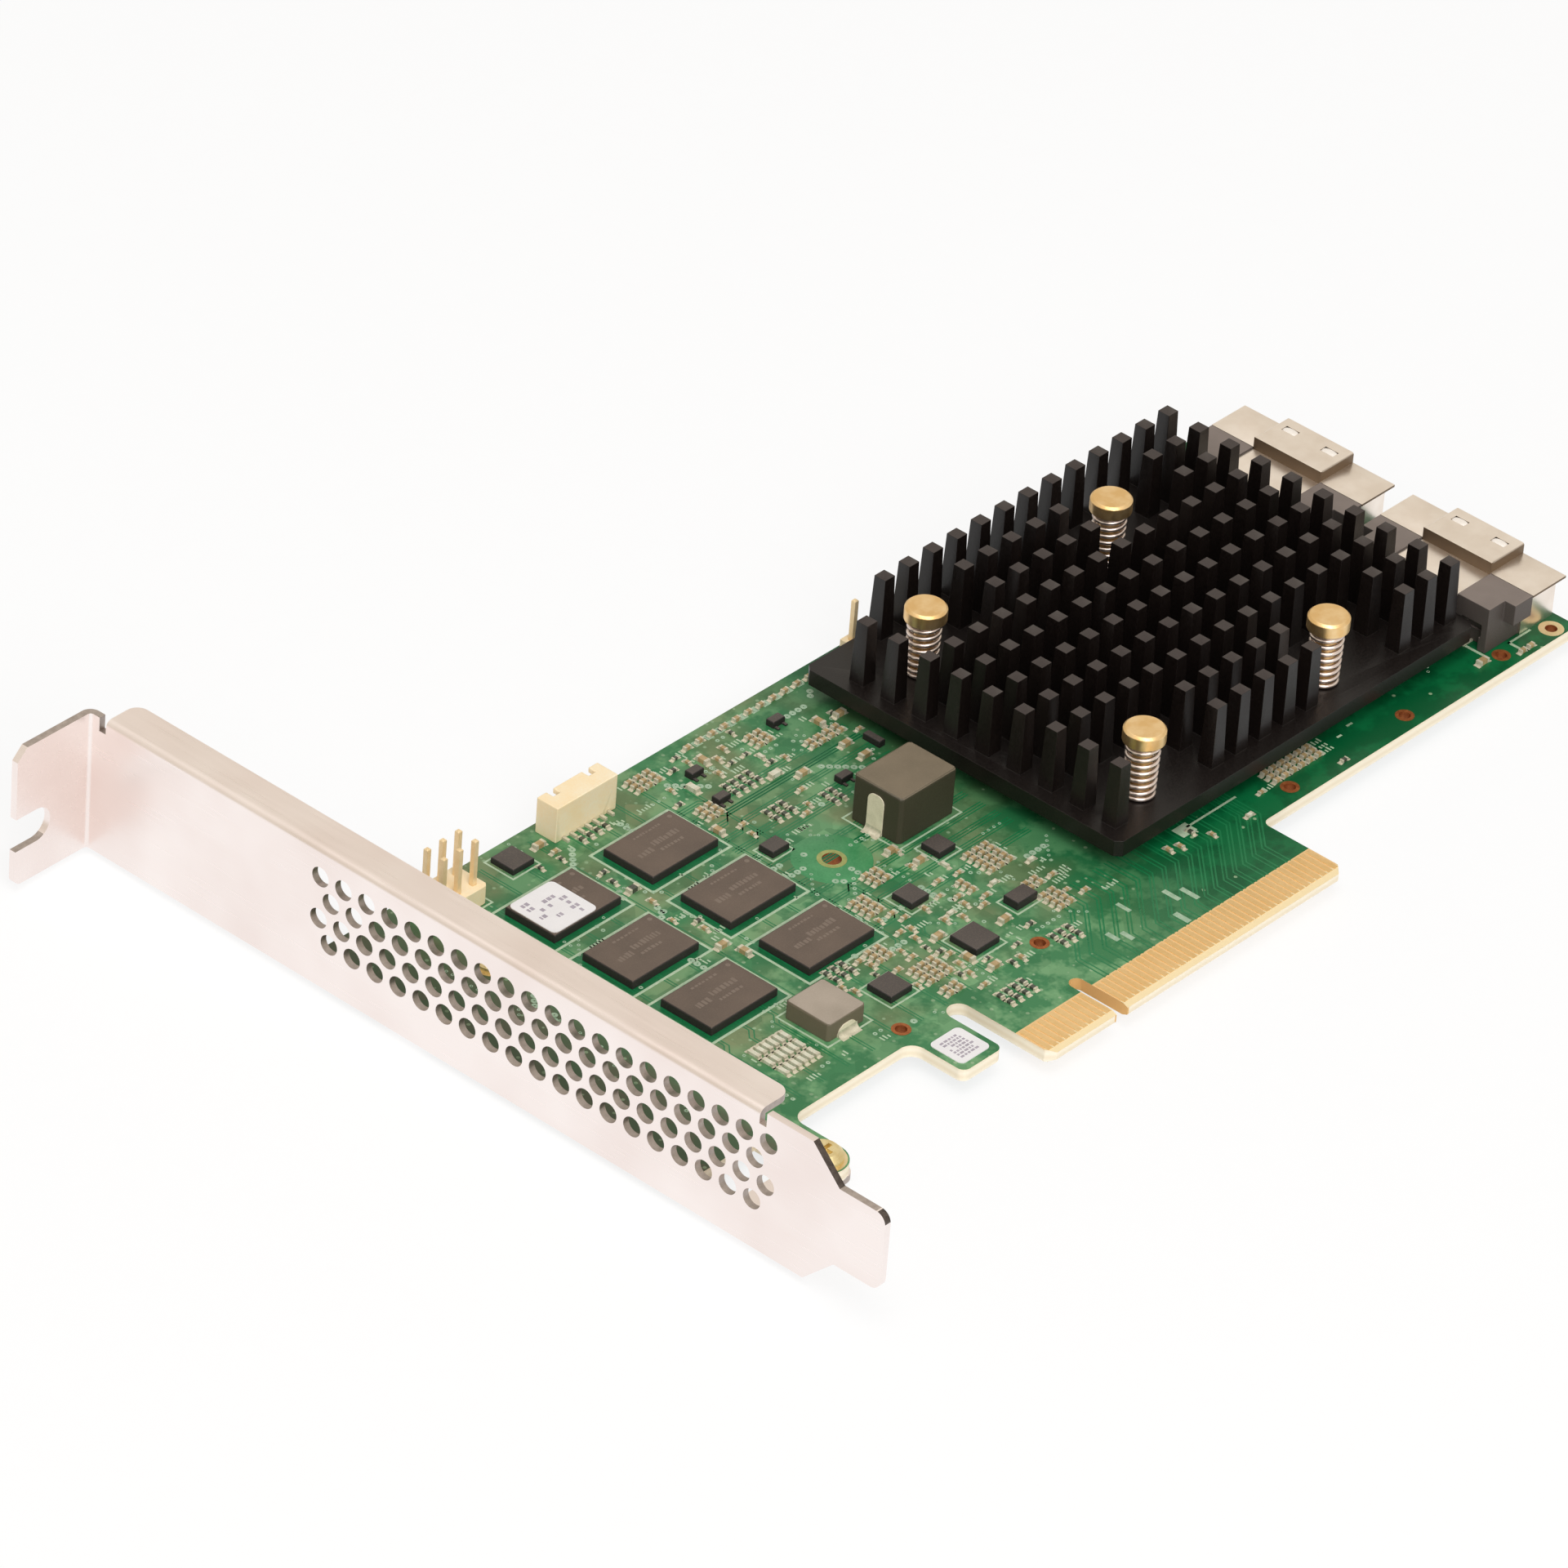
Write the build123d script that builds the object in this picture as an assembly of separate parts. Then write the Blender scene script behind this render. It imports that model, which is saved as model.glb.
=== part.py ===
from build123d import *
import os
from math import cos, pi, radians, sin, tan

# Low-profile PCIe x8 storage controller on a full-height slot bracket.
# +X runs from the bracket to the cable end, +Y from the slot edge to the top edge,
# +Z out of the component side.  Origin: slot edge, centre of the key notch,
# component-side face of the board.  Millimetres.

# ---- circuit board ----
BOARD_LENGTH = 155.65
BOARD_TOP = 68.90             # slot edge to top edge
BOARD_THICK = 1.57
LOWER_EDGE = 12.2             # slot edge up to the edge beside the slot tongue
CORNER_R = 1.0
TONGUE_LEFT = 12.15           # key centre to the tongue's bracket end
TONGUE_RIGHT = 39.15
KEY_WIDTH = 1.90
KEY_DEPTH = 7.6
BEVEL_LENGTH = 0.7            # lead-in on the slot edge
BEVEL_DEPTH = 0.3
HOOK_WIDTH = 6.6              # retention hook beside the tongue
HOOK_GAP = 3.0
HOOK_REACH = 7.7              # how far the hook hangs below the lower edge
HOOK_FILLET = 1.8
EAR_X = -44.8                 # lower fixing hole, on a lobe of the board
EAR_Y = 4.9
EAR_R = 2.95
UPPER_HOLE_Y = 54.0
FIX_HOLE = 3.2
SPACER_HOLE = (-2.4, 41.2, 2.4)           # x, y, bore
CORNER_HOLE_INSET = (2.8, 1.7)            # in from the cable end and the lower edge
CORNER_HOLE_BORE = 1.6
TOOLING_HOLES = (-20.9, 2.7, 46.9, 67.9, 85.9)   # x of each, in a row along the lower edge
TOOLING_INSET = 2.3           # lower edge to the row
TOOLING_BORE = 1.5

# ---- edge contacts ----
PAD_PITCH = 1.0
PAD_WIDTH = 0.7
PAD_TOP = 5.0
PAD_THICK = 0.05
PADS_SHORT_SIDE = 11
PADS_LONG_SIDE = 38
FIRST_PAD = 1.5               # key centre to the first pad's centre on either side

# ---- slot bracket ----
SHEET = 0.9
BRACKET_WIDTH = 18.42
BRACKET_LENGTH = 120.02
BOARD_GAP = 0.6               # board's end to the bracket's inner face
FACE_X = -59.75               # bracket's outer face
TAB_Y = 103.7                 # outer face of the top tab
TAB_DEPTH = 11.43
TAB_CHAMFER = 1.5
SLOT_WIDTH = 4.42             # screw slot in the tab
SLOT_INSET = 11.5             # component-side edge to the slot's centre line
SLOT_END = 6.0                # outer face to the slot's closed end
TONGUE_WIDTH = 10.19
BEVEL_START = 10.7            # bevel's start to the tongue's end
TONGUE_R = 1.4
BEND_R = 0.5
BEND_OUTER_R = 1.35
FOLD_SHORTEST = 15.0
TOUCH = 0.01                  # closer than this, two points are one
FLANGE_WIDTH = 5.0            # stiffening flange on the component-side edge
FLANGE_LOW = 2.0
FLANGE_HIGH = 100.4
FLANGE_CORNER = 1.6
RELIEF = 1.0
VENT_BORE = 2.5               # across the corners of each vent
VENT_SIDES = 8
VENT_PITCH = 3.5
VENT_ROW = 2.8
VENT_ROWS = 4
VENTS_PER_ROW = 20
VENT_FIRST_Y = 0.5
VENT_FIRST_Z = 3.8
LUG_WIDTH = 5.6               # lugs under the board that take the fixing screws
LUG_REACH = 2.6               # fixing hole's centre to the lug's end
COLLAR_HEIGHT = 1.0
COLLAR_WALL = 0.7

# ---- bracket screws ----
SCREW_SHANK = 2.9
SCREW_HEAD = 4.7
SCREW_HEAD_HEIGHT = 1.3
SCREW_TIP = 0.3               # tip short of the collar's end
RECESS = 2.3
RECESS_SLOT = 0.55

# ---- controller chip and heatsink ----
CHIP_X = 44.7
CHIP_Y = 38.5
SUBSTRATE = 27.0
SUBSTRATE_THICK = 1.10
LID = 22.0
LID_THICK = 0.95
LID_CHAMFER = 0.3
PASTE_THICK = 0.15
PASTE_WIDTH = 20.0
SINK_LEFT = 19.0
SINK_RIGHT = 83.5
SINK_LOW = 17.0
SINK_HIGH = 64.8
SINK_BASE = 2.1
SINK_CORNER = 0.8
SINK_PIN_HEIGHT = 8.2
SINK_PIN_TIP = 1.7
SINK_PIN_DRAFT = 1.6          # degrees
SINK_COLUMNS = 15
SINK_ROWS = 10
SINK_FIRST_X = 22.0
SINK_FIRST_Y = 20.3
SINK_PITCH_X = 4.25
SINK_PITCH_Y = 4.78
SINK_CLEAR_LEFT = 4.9         # room left free of pins round each push pin's centre
SINK_CLEAR_RIGHT = 8.0
SINK_CLEAR_Y = 4.9
SINK_CORNER_GAP = 2           # pins left off the back row at the bracket end

# ---- push pins and springs ----
PUSH_SPACING = 33.0
PUSH_HEAD = 5.1
PUSH_HEAD_THICK = 1.8
PUSH_HEAD_EDGE = 0.3
PUSH_SHANK = 2.4
PUSH_TOP = 13.6               # board to the head's top
PUSH_HOLE = 3.0
BARB = 3.4
BARB_HEIGHT = 1.6
BARB_SLIT = 0.5
BARB_TIP = 1.8                # across the barb's lower end
BARB_SEAT = 0.05              # board's back to the barb's shoulder
SPRING_OD = 4.3
SPRING_WIRE = 0.5
SPRING_TURNS = 5
SPRING_SIDES = 8              # straight lengths in each turn of the coil
SPRING_SEAT = 0.05            # spring end to its seat

# ---- memory ----
MEMORY_LENGTH = 11.0
MEMORY_WIDTH = 7.6
MEMORY_THICK = 1.1
MEMORY_EDGE = 0.12
MEMORY_X = (-15.5, -31.8)
MEMORY_Y = (55.5, 43.7, 31.9)
LABEL_THICK = 0.1
LABEL_LENGTH = 7.2
LABEL_INSET = 0.2
BOARD_LABEL = 5.0
BOARD_LABEL_Y = 8.0

# ---- cable sockets ----
SOCKET_Y = (26.0, 52.0)
SOCKET_WIDTH = 23.2           # across the wings of the shell
SOCKET_FOOT = 20.6            # across the shell's side walls
SOCKET_LENGTH = 12.4
SOCKET_SETBACK = 0.4          # socket mouth to the board's end
SOCKET_HEIGHT = 6.2
SHELL_LENGTH = 6.2            # how much of the housing the shell covers
SHELL_SHEET = 0.3
WING_LENGTH = 3.3             # of the housing, behind the shell
SHOULDER_FLOOR = 3.4          # underside of the housing's wings and back ledge
LEDGE_DEPTH = 1.2
HUMP_WIDTH = 10.3
HUMP_RISE = 1.4
MOUTH_WIDTH = 18.6
MOUTH_HEIGHT = 4.2
MOUTH_FLOOR = 0.9
MOUTH_DEPTH = 8.0
NOSE_WIDTH = 16.6             # contact nose inside the mouth
NOSE_HEIGHT = 2.2
NOSE_SETBACK = 1.2
NOSE_ROOT = 0.5               # of the nose, inside the housing's wall
CARD_SLOT = 0.9
CARD_SLOT_WIDTH = 15.0
CARD_SLOT_DEPTH = 5.0
POCKET = 3.0                  # moulding pocket in each shoulder's back face
POCKET_HEIGHT = 1.8
POCKET_DEPTH = 1.5
SOCKET_TAILS = 19
TAIL_PITCH = 0.8
TAIL_WIDTH = 0.3
TAIL_LENGTH = 0.6
TAIL_THICK = 0.25
WINDOW_LENGTH = 1.1
WINDOW_WIDTH = 2.0
WINDOW_SPACING = 6.0
WINDOW_SETBACK = 2.0

# ---- inductors: centre x, centre y, length, width, height ----
CHOKE = (9.9, 41.4, 9.7, 7.4, 6.3)
CHOKE_CHAMFER = 0.4
CHOKE_LEG = 2.4
CHOKE_LEG_RISE = 5.2
COIL = (-25.7, 21.65, 6.2, 6.5, 2.4)
COIL_CHAMFER = 0.3
COIL_LEG = 3.2
COIL_LEG_RISE = 1.4
LEG_SHEET = 0.15
LEG_ROUND = 0.4               # corner radius as a share of a leg's width

# ---- small chips: centre x, centre y, length, width, height ----
SMALL_CHIPS = {
    "regulator_chip_1": (7.9, 34.2, 2.8, 2.8, 0.9),
    "regulator_chip_2": (-1.7, 30.0, 3.0, 3.0, 0.9),
    "flash_chip": (-2.5, 19.7, 4.0, 4.0, 0.9),
    "clock_chip": (-16.4, 20.2, 3.6, 3.6, 0.9),
    "corner_chip": (-29.5, 65.4, 3.5, 3.5, 0.8),
    "load_switch_chip": (18.4, 53.2, 1.0, 2.6, 0.9),
    "sensor_chip": (-5.9, 46.9, 2.8, 2.2, 0.9),
    "protection_diode": (7.2, 21.3, 3.4, 2.2, 1.1),
}
SMALL_CHIP_EDGE = 0.1
TRANSISTORS = [(12.8, 63.4), (10.2, 50.6), (-3.2, 57.4), (-1.7, 62.9)]
TRANSISTOR = (2.0, 1.2, 0.9)  # body length, width and height
TRANSISTOR_LEG = (0.4, 0.6, 0.2)
TRANSISTOR_SPREAD = 1.3       # between the paired legs

# ---- backup power connector on the top edge ----
BACKUP_LEFT = -23.2
BACKUP_RIGHT = -13.1
BACKUP_BACK = 64.6            # wall that the contacts' feet come out of
BACKUP_DEPTH = 3.2            # back wall to the mouth, which faces the top edge
BACKUP_HEIGHT = 4.8
BACKUP_WALL = 0.7
BACKUP_BACK_WALL = 1.0
BACKUP_SLOT = 1.1             # two keyways in the roof of the mouth
BACKUP_PINS = 7
BACKUP_PITCH = 1.25
BACKUP_PIN = 0.4
BACKUP_PIN_HEIGHT = 2.4
BACKUP_FOOT = 0.9             # foot on the board, out from the back wall
BACKUP_TIP = 0.6              # pin tip inside the mouth's rim

# ---- service header by the bracket ----
HEADER_RIGHT = -37.0
HEADER_LOW = 62.2
HEADER_PITCH = 2.54
HEADER_COLUMNS = 3
HEADER_ROWS = 2
HEADER_BASE = 2.5
HEADER_PIN = 0.64
HEADER_PIN_TOP = 8.6
PIN_TAIL = 0.9                # through-hole tails below the board's back
TEST_PIN = (29.9, 66.9)
TEST_PIN_TOP = 7.6
TEST_BASE = 2.0

# ---- chip capacitors and resistors: first x, first y, columns, rows ----
CAP_LENGTH = 1.0
CAP_WIDTH = 0.55
CAP_HEIGHT = 0.5
CAP_STEP_X = 1.5
CAP_STEP_Y = 0.95
CAPACITOR_BANKS = [(9.2, 27.2, 3, 5), (-2.3, 34.4, 2, 3), (-7.4, 30.9, 2, 4), (-13.2, 24.4, 2, 3),
                   (-11.9, 17.9, 3, 4), (-12.0, 15.0, 2, 2), (9.6, 17.2, 2, 4), (12.6, 57.2, 4, 2),
                   (46.6, 16.2, 6, 3), (4.6, 26.2, 1, 3), (-8.6, 64.9, 3, 3), (-6.6, 55.8, 2, 3),
                   (88.3, 13.2, 2, 1), (9.8, 21.9, 2, 2), (8.2, 61.6, 2, 3)]
EDGE_RUN = (1.5, 66.9, 11, 2.1)           # first x, y, count, step
RES_LENGTH = 0.6
RES_WIDTH = 1.0
RES_HEIGHT = 0.35
RES_STEP_X = 1.3
RES_STEP_Y = 1.5
RESISTOR_BANKS = [(-0.9, 57.2, 4, 2), (-1.2, 50.6, 3, 2), (-8.3, 9.4, 4, 2), (4.6, 12.6, 3, 2),
                  (-19.4, 25.4, 3, 2), (6.2, 48.4, 2, 2), (-20.5, 63.0, 4, 1)]
ARRAY_LENGTH = 2.6            # resistor arrays by the bracket
ARRAY_WIDTH = 0.6
ARRAY_HEIGHT = 0.4
ARRAY_FIRST = (-35.6, 17.5)
ARRAY_STEP_X = 3.4
ARRAY_STEP_Y = 1.15
ARRAY_ROWS = 6

# ---- worked out from the sizes above ----
BOARD_LEFT = FACE_X + SHEET + BOARD_GAP
BOARD_RIGHT = BOARD_LEFT + BOARD_LENGTH
BACK = -BOARD_THICK
PIN_END = BACK - PIN_TAIL
BRACKET_BACK = BACK - SHEET
BRACKET_FRONT = BRACKET_BACK + BRACKET_WIDTH
SINK_FLOOR = SUBSTRATE_THICK + LID_THICK + PASTE_THICK
SINK_DECK = SINK_FLOOR + SINK_BASE
CORNER_HOLE = (BOARD_RIGHT - CORNER_HOLE_INSET[0], LOWER_EDGE + CORNER_HOLE_INSET[1],
               CORNER_HOLE_BORE)
SOCKET_FRONT = BOARD_RIGHT - SOCKET_SETBACK
SOCKET_BACK = SOCKET_FRONT - SOCKET_LENGTH
SHELL_BACK = SOCKET_FRONT - SHELL_LENGTH
PIN_SPOTS = [(CHIP_X + i * PUSH_SPACING / 2, CHIP_Y + j * PUSH_SPACING / 2)
             for j in (-1, 1) for i in (-1, 1)]
FIX_SPOTS = [(EAR_X, EAR_Y), (EAR_X, UPPER_HOLE_Y)]


def block(x0, x1, y0, y1, z0, z1):
    """A rectangular solid between two corners."""
    return Pos((x0 + x1) / 2, (y0 + y1) / 2, (z0 + z1) / 2) * Box(x1 - x0, y1 - y0, z1 - z0)


def package(x, y, length, width, height, z=0.0):
    """A chip-like block standing on a surface at height z."""
    return Pos(x, y, z + height / 2) * Box(length, width, height)


def rod(x, y, diameter, z0, z1):
    return Pos(x, y, (z0 + z1) / 2) * Cylinder(diameter / 2, z1 - z0)


def plate(sketch, z0, z1):
    return Pos(0, 0, z0) * extrude(sketch, amount=z1 - z0)


def rect(x0, x1, y0, y1):
    return Pos((x0 + x1) / 2, (y0 + y1) / 2) * Rectangle(x1 - x0, y1 - y0)


def near(sketch, x, y):
    """The sketch's corner at a point."""
    return [v for v in sketch.vertices() if abs(v.X - x) < TOUCH and abs(v.Y - y) < TOUCH]


# ---------------------------------------------------------------- circuit board
def board_outline():
    hook_right = -TONGUE_LEFT - HOOK_GAP
    hook_left = hook_right - HOOK_WIDTH
    hook_low = LOWER_EDGE - HOOK_REACH
    outline = rect(BOARD_LEFT, BOARD_RIGHT, LOWER_EDGE, BOARD_TOP)
    outline += rect(-TONGUE_LEFT, TONGUE_RIGHT, 0, LOWER_EDGE + 1)
    outline += rect(hook_left, hook_right, hook_low, LOWER_EDGE + 1)
    outline += rect(EAR_X - EAR_R, EAR_X + EAR_R, EAR_Y, LOWER_EDGE + 1)
    outline = fillet(near(outline, hook_left, LOWER_EDGE), HOOK_FILLET)
    outline = fillet(near(outline, EAR_X + EAR_R, LOWER_EDGE), HOOK_FILLET)
    outline = fillet(near(outline, TONGUE_RIGHT, LOWER_EDGE), CORNER_R)
    for x in (hook_left, hook_right):
        outline = fillet(near(outline, x, hook_low), CORNER_R)
    for x in (BOARD_LEFT, BOARD_RIGHT):
        for y in (LOWER_EDGE, BOARD_TOP):
            outline = fillet(near(outline, x, y), CORNER_R)
    for x in (-TONGUE_LEFT, TONGUE_RIGHT):
        outline = chamfer(near(outline, x, 0), CORNER_R)
    outline += Pos(EAR_X, EAR_Y) * Circle(EAR_R)
    outline -= Pos(hook_right + HOOK_GAP / 2, LOWER_EDGE) * Circle(HOOK_GAP / 2)
    return outline


def circuit_board():
    outline = board_outline()
    outline -= rect(-KEY_WIDTH / 2, KEY_WIDTH / 2, -1, KEY_DEPTH - KEY_WIDTH / 2)
    outline -= Pos(0, KEY_DEPTH - KEY_WIDTH / 2) * Circle(KEY_WIDTH / 2)
    for x, y in FIX_SPOTS:
        outline -= Pos(x, y) * Circle(FIX_HOLE / 2)
    for x, y in PIN_SPOTS:
        outline -= Pos(x, y) * Circle(PUSH_HOLE / 2)
    tooling = [(x, LOWER_EDGE + TOOLING_INSET, TOOLING_BORE) for x in TOOLING_HOLES]
    for x, y, bore in [SPACER_HOLE, CORNER_HOLE] + tooling:
        outline -= Pos(x, y) * Circle(bore / 2)
    for x, y in header_spots() + [TEST_PIN]:
        outline -= Pos(x, y) * Rectangle(HEADER_PIN, HEADER_PIN)
    board = plate(outline, BACK, 0)
    for face, side in ((0, 1), (BACK, -1)):
        wedge = make_face(Polyline((0, face), (0, face - side * BEVEL_DEPTH),
                                   (BEVEL_LENGTH, face), (0, face), close=False))
        cutter = extrude(Plane.YZ * wedge, amount=TONGUE_RIGHT + 1, both=True)
        board -= cutter
    return board


def edge_contacts(z0, z1):
    rows = [-FIRST_PAD - i * PAD_PITCH for i in range(PADS_SHORT_SIDE)]
    rows += [FIRST_PAD + i * PAD_PITCH for i in range(PADS_LONG_SIDE)]
    return [block(x - PAD_WIDTH / 2, x + PAD_WIDTH / 2, BEVEL_LENGTH, PAD_TOP, z0, z1) for x in rows]


# ---------------------------------------------------------------- slot bracket
def bracket_face():
    """Flat face in Y and Z, with its bevelled slot tongue and the vent pattern."""
    low = TAB_Y - BRACKET_LENGTH
    side = (BRACKET_WIDTH - TONGUE_WIDTH) / 2
    shoulder = low + BEVEL_START
    face = make_face(Polyline((TAB_Y, BRACKET_BACK), (TAB_Y, BRACKET_FRONT),
                              (shoulder, BRACKET_FRONT), (shoulder - side, BRACKET_FRONT - side),
                              (low, BRACKET_FRONT - side), (low, BRACKET_BACK + side),
                              (shoulder - side, BRACKET_BACK + side), (shoulder, BRACKET_BACK),
                              (TAB_Y, BRACKET_BACK)))
    for z in (BRACKET_FRONT - side, BRACKET_BACK + side):
        face = fillet(near(face, low, z), TONGUE_R)
    for row in range(VENT_ROWS):
        count = VENTS_PER_ROW - (row + 1) % 2
        offset = VENT_PITCH / 2 * ((row + 1) % 2)
        for i in range(count):
            spot = (VENT_FIRST_Y + offset + i * VENT_PITCH, VENT_FIRST_Z + row * VENT_ROW)
            face -= Pos(*spot) * RegularPolygon(VENT_BORE / 2, VENT_SIDES)
    for y in (FLANGE_LOW - RELIEF, FLANGE_HIGH):
        face -= rect(y, y + RELIEF, BRACKET_FRONT - 2 * SHEET, BRACKET_FRONT + 1)
    return Pos(FACE_X, 0, 0) * extrude(Plane.YZ * face, amount=SHEET)


def bracket_tab():
    """Top tab, bent away from the board, with its open screw slot."""
    outer = FACE_X - TAB_DEPTH
    slot_z = BRACKET_FRONT - SLOT_INSET
    tab = rect(outer, FACE_X + SHEET, BRACKET_BACK, BRACKET_FRONT)
    tab = chamfer(near(tab, outer, BRACKET_FRONT), TAB_CHAMFER)
    tab = fillet(near(tab, outer, BRACKET_BACK), CORNER_R)
    end = FACE_X - SLOT_END - SLOT_WIDTH / 2
    tab -= rect(outer - 1, end, slot_z - SLOT_WIDTH / 2, slot_z + SLOT_WIDTH / 2)
    tab -= Pos(end, slot_z) * Circle(SLOT_WIDTH / 2)
    solid = extrude(Plane.XZ * tab, amount=-SHEET)
    return Pos(0, TAB_Y - SHEET, 0) * solid


def bracket_flange():
    flange = rect(FACE_X, FACE_X + FLANGE_WIDTH, FLANGE_LOW, FLANGE_HIGH)
    for y in (FLANGE_LOW, FLANGE_HIGH):
        flange = fillet(near(flange, FACE_X + FLANGE_WIDTH, y), FLANGE_CORNER)
    return plate(flange, BRACKET_FRONT - SHEET, BRACKET_FRONT)


def bracket_lug(x, y):
    end = x + LUG_REACH
    lug = rect(FACE_X, end, y - LUG_WIDTH / 2, y + LUG_WIDTH / 2)
    for side in (-1, 1):
        lug = fillet(near(lug, end, y + side * LUG_WIDTH / 2), FLANGE_CORNER)
    solid = plate(lug, BRACKET_BACK, BACK)
    solid += rod(x, y, SCREW_SHANK + 2 * COLLAR_WALL, BRACKET_BACK - COLLAR_HEIGHT, BACK)
    return solid - rod(x, y, SCREW_SHANK, BRACKET_BACK - COLLAR_HEIGHT - 1, BACK + 1)


def fold_line(sheet, axis, x, other):
    """The bracket's edges along an axis, at a point across it, without the short ones."""
    found = []
    for edge in sheet.edges().filter_by(axis):
        middle = edge.center()
        across = middle.Y if axis == Axis.Z else middle.Z
        if abs(middle.X - x) < TOUCH and abs(across - other) < TOUCH and edge.length > FOLD_SHORTEST:
            found.append(edge)
    return found


def bracket():
    sheet = bracket_face() + bracket_tab() + bracket_flange()
    for x, y in FIX_SPOTS:
        sheet += bracket_lug(x, y)
    sheet = fillet(fold_line(sheet, Axis.Z, FACE_X + SHEET, TAB_Y), BEND_OUTER_R)
    sheet = fillet(fold_line(sheet, Axis.Z, FACE_X, TAB_Y - SHEET), BEND_R)
    return fillet(fold_line(sheet, Axis.Y, FACE_X, BRACKET_FRONT), SHEET)


def bracket_screw(x, y):
    tip = BRACKET_BACK - COLLAR_HEIGHT + SCREW_TIP
    head = rod(x, y, SCREW_HEAD, 0, SCREW_HEAD_HEIGHT)
    head = chamfer(head.edges().group_by(Axis.Z)[-1], SCREW_HEAD_HEIGHT / 2)
    screw = head + rod(x, y, SCREW_SHANK, tip, SCREW_HEAD_HEIGHT / 2)
    for length, width in ((RECESS, RECESS_SLOT), (RECESS_SLOT, RECESS)):
        screw -= package(x, y, length, width, SCREW_HEAD_HEIGHT, SCREW_HEAD_HEIGHT / 2)
    return screw


# ---------------------------------------------------------------- controller and heatsink
def controller_lid():
    lid = package(CHIP_X, CHIP_Y, LID, LID, LID_THICK, SUBSTRATE_THICK)
    return chamfer(lid.edges().group_by(Axis.Z)[-1], LID_CHAMFER)


def clear_of_push_pins(x, y):
    return not any(-SINK_CLEAR_LEFT < x - px < SINK_CLEAR_RIGHT and abs(y - py) < SINK_CLEAR_Y
                   for px, py in PIN_SPOTS)


def heatsink():
    """Cast plate with a grid of drafted square pins, left open around the push pins."""
    base = block(SINK_LEFT, SINK_RIGHT, SINK_LOW, SINK_HIGH, SINK_FLOOR, SINK_DECK)
    base = chamfer(base.edges().filter_by(Axis.Z), SINK_CORNER)
    for x, y in PIN_SPOTS:
        base -= rod(x, y, PUSH_HOLE, SINK_FLOOR - 1, SINK_DECK + 1)
    root = SINK_PIN_TIP + 2 * SINK_PIN_HEIGHT * tan(radians(SINK_PIN_DRAFT))
    foot = Pos(0, 0, SINK_DECK) * Rectangle(root, root)
    pin = extrude(foot, amount=SINK_PIN_HEIGHT, taper=SINK_PIN_DRAFT)
    pins = []
    for i in range(SINK_COLUMNS):
        for j in range(SINK_ROWS):
            x = SINK_FIRST_X + i * SINK_PITCH_X
            y = SINK_FIRST_Y + j * SINK_PITCH_Y
            corner = j == SINK_ROWS - 1 and i < SINK_CORNER_GAP
            if clear_of_push_pins(x, y) and not corner:
                pins.append(Pos(x, y, 0) * pin)
    return base + pins


def push_pin(x, y):
    """Brass pin: flat head, shank, and a split barb that has snapped through the board."""
    under = PUSH_TOP - PUSH_HEAD_THICK
    head = rod(x, y, PUSH_HEAD, under, PUSH_TOP)
    head = chamfer(head.edges().group_by(Axis.Z)[-1], PUSH_HEAD_EDGE)
    barb_top = BACK - BARB_SEAT
    barb = Pos(x, y, barb_top - BARB_HEIGHT / 2) * Cone(BARB_TIP / 2, BARB / 2, BARB_HEIGHT)
    pin = head + rod(x, y, PUSH_SHANK, barb_top, under) + barb
    slit = package(x, y, 2 * BARB, BARB_SLIT, BOARD_THICK + BARB_HEIGHT, barb_top - BARB_HEIGHT)
    return pin - slit


def pin_spring(x, y):
    low = SINK_DECK + SPRING_SEAT + SPRING_WIRE / 2
    high = PUSH_TOP - PUSH_HEAD_THICK - SPRING_SEAT - SPRING_WIRE / 2
    radius = (SPRING_OD - SPRING_WIRE) / 2
    steps = SPRING_TURNS * SPRING_SIDES
    spots = [(radius * cos(2 * pi * i / SPRING_SIDES), radius * sin(2 * pi * i / SPRING_SIDES),
              low + (high - low) * i / steps) for i in range(steps + 1)]
    path = Polyline(*spots)
    section = Plane(path @ 0, z_dir=path % 0) * Rectangle(SPRING_WIRE, SPRING_WIRE)
    return Pos(x, y, 0) * sweep(section, path=path, transition=Transition.RIGHT)


# ---------------------------------------------------------------- memory and labels
def memory_chip(x, y):
    chip = package(x, y, MEMORY_LENGTH, MEMORY_WIDTH, MEMORY_THICK)
    return chamfer(chip.edges().group_by(Axis.Z)[-1], MEMORY_EDGE)


def memory_label():
    """Paper label flush with the bracket end of one chip."""
    x = MEMORY_X[1] - (MEMORY_LENGTH - LABEL_LENGTH) / 2 + LABEL_INSET
    return package(x, MEMORY_Y[0], LABEL_LENGTH, MEMORY_WIDTH - 2 * LABEL_INSET, LABEL_THICK,
                   MEMORY_THICK)


def board_label():
    """Small square label on the retention hook."""
    x = -TONGUE_LEFT - HOOK_GAP - HOOK_WIDTH / 2
    return package(x, BOARD_LABEL_Y, BOARD_LABEL, BOARD_LABEL, LABEL_THICK)


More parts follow.
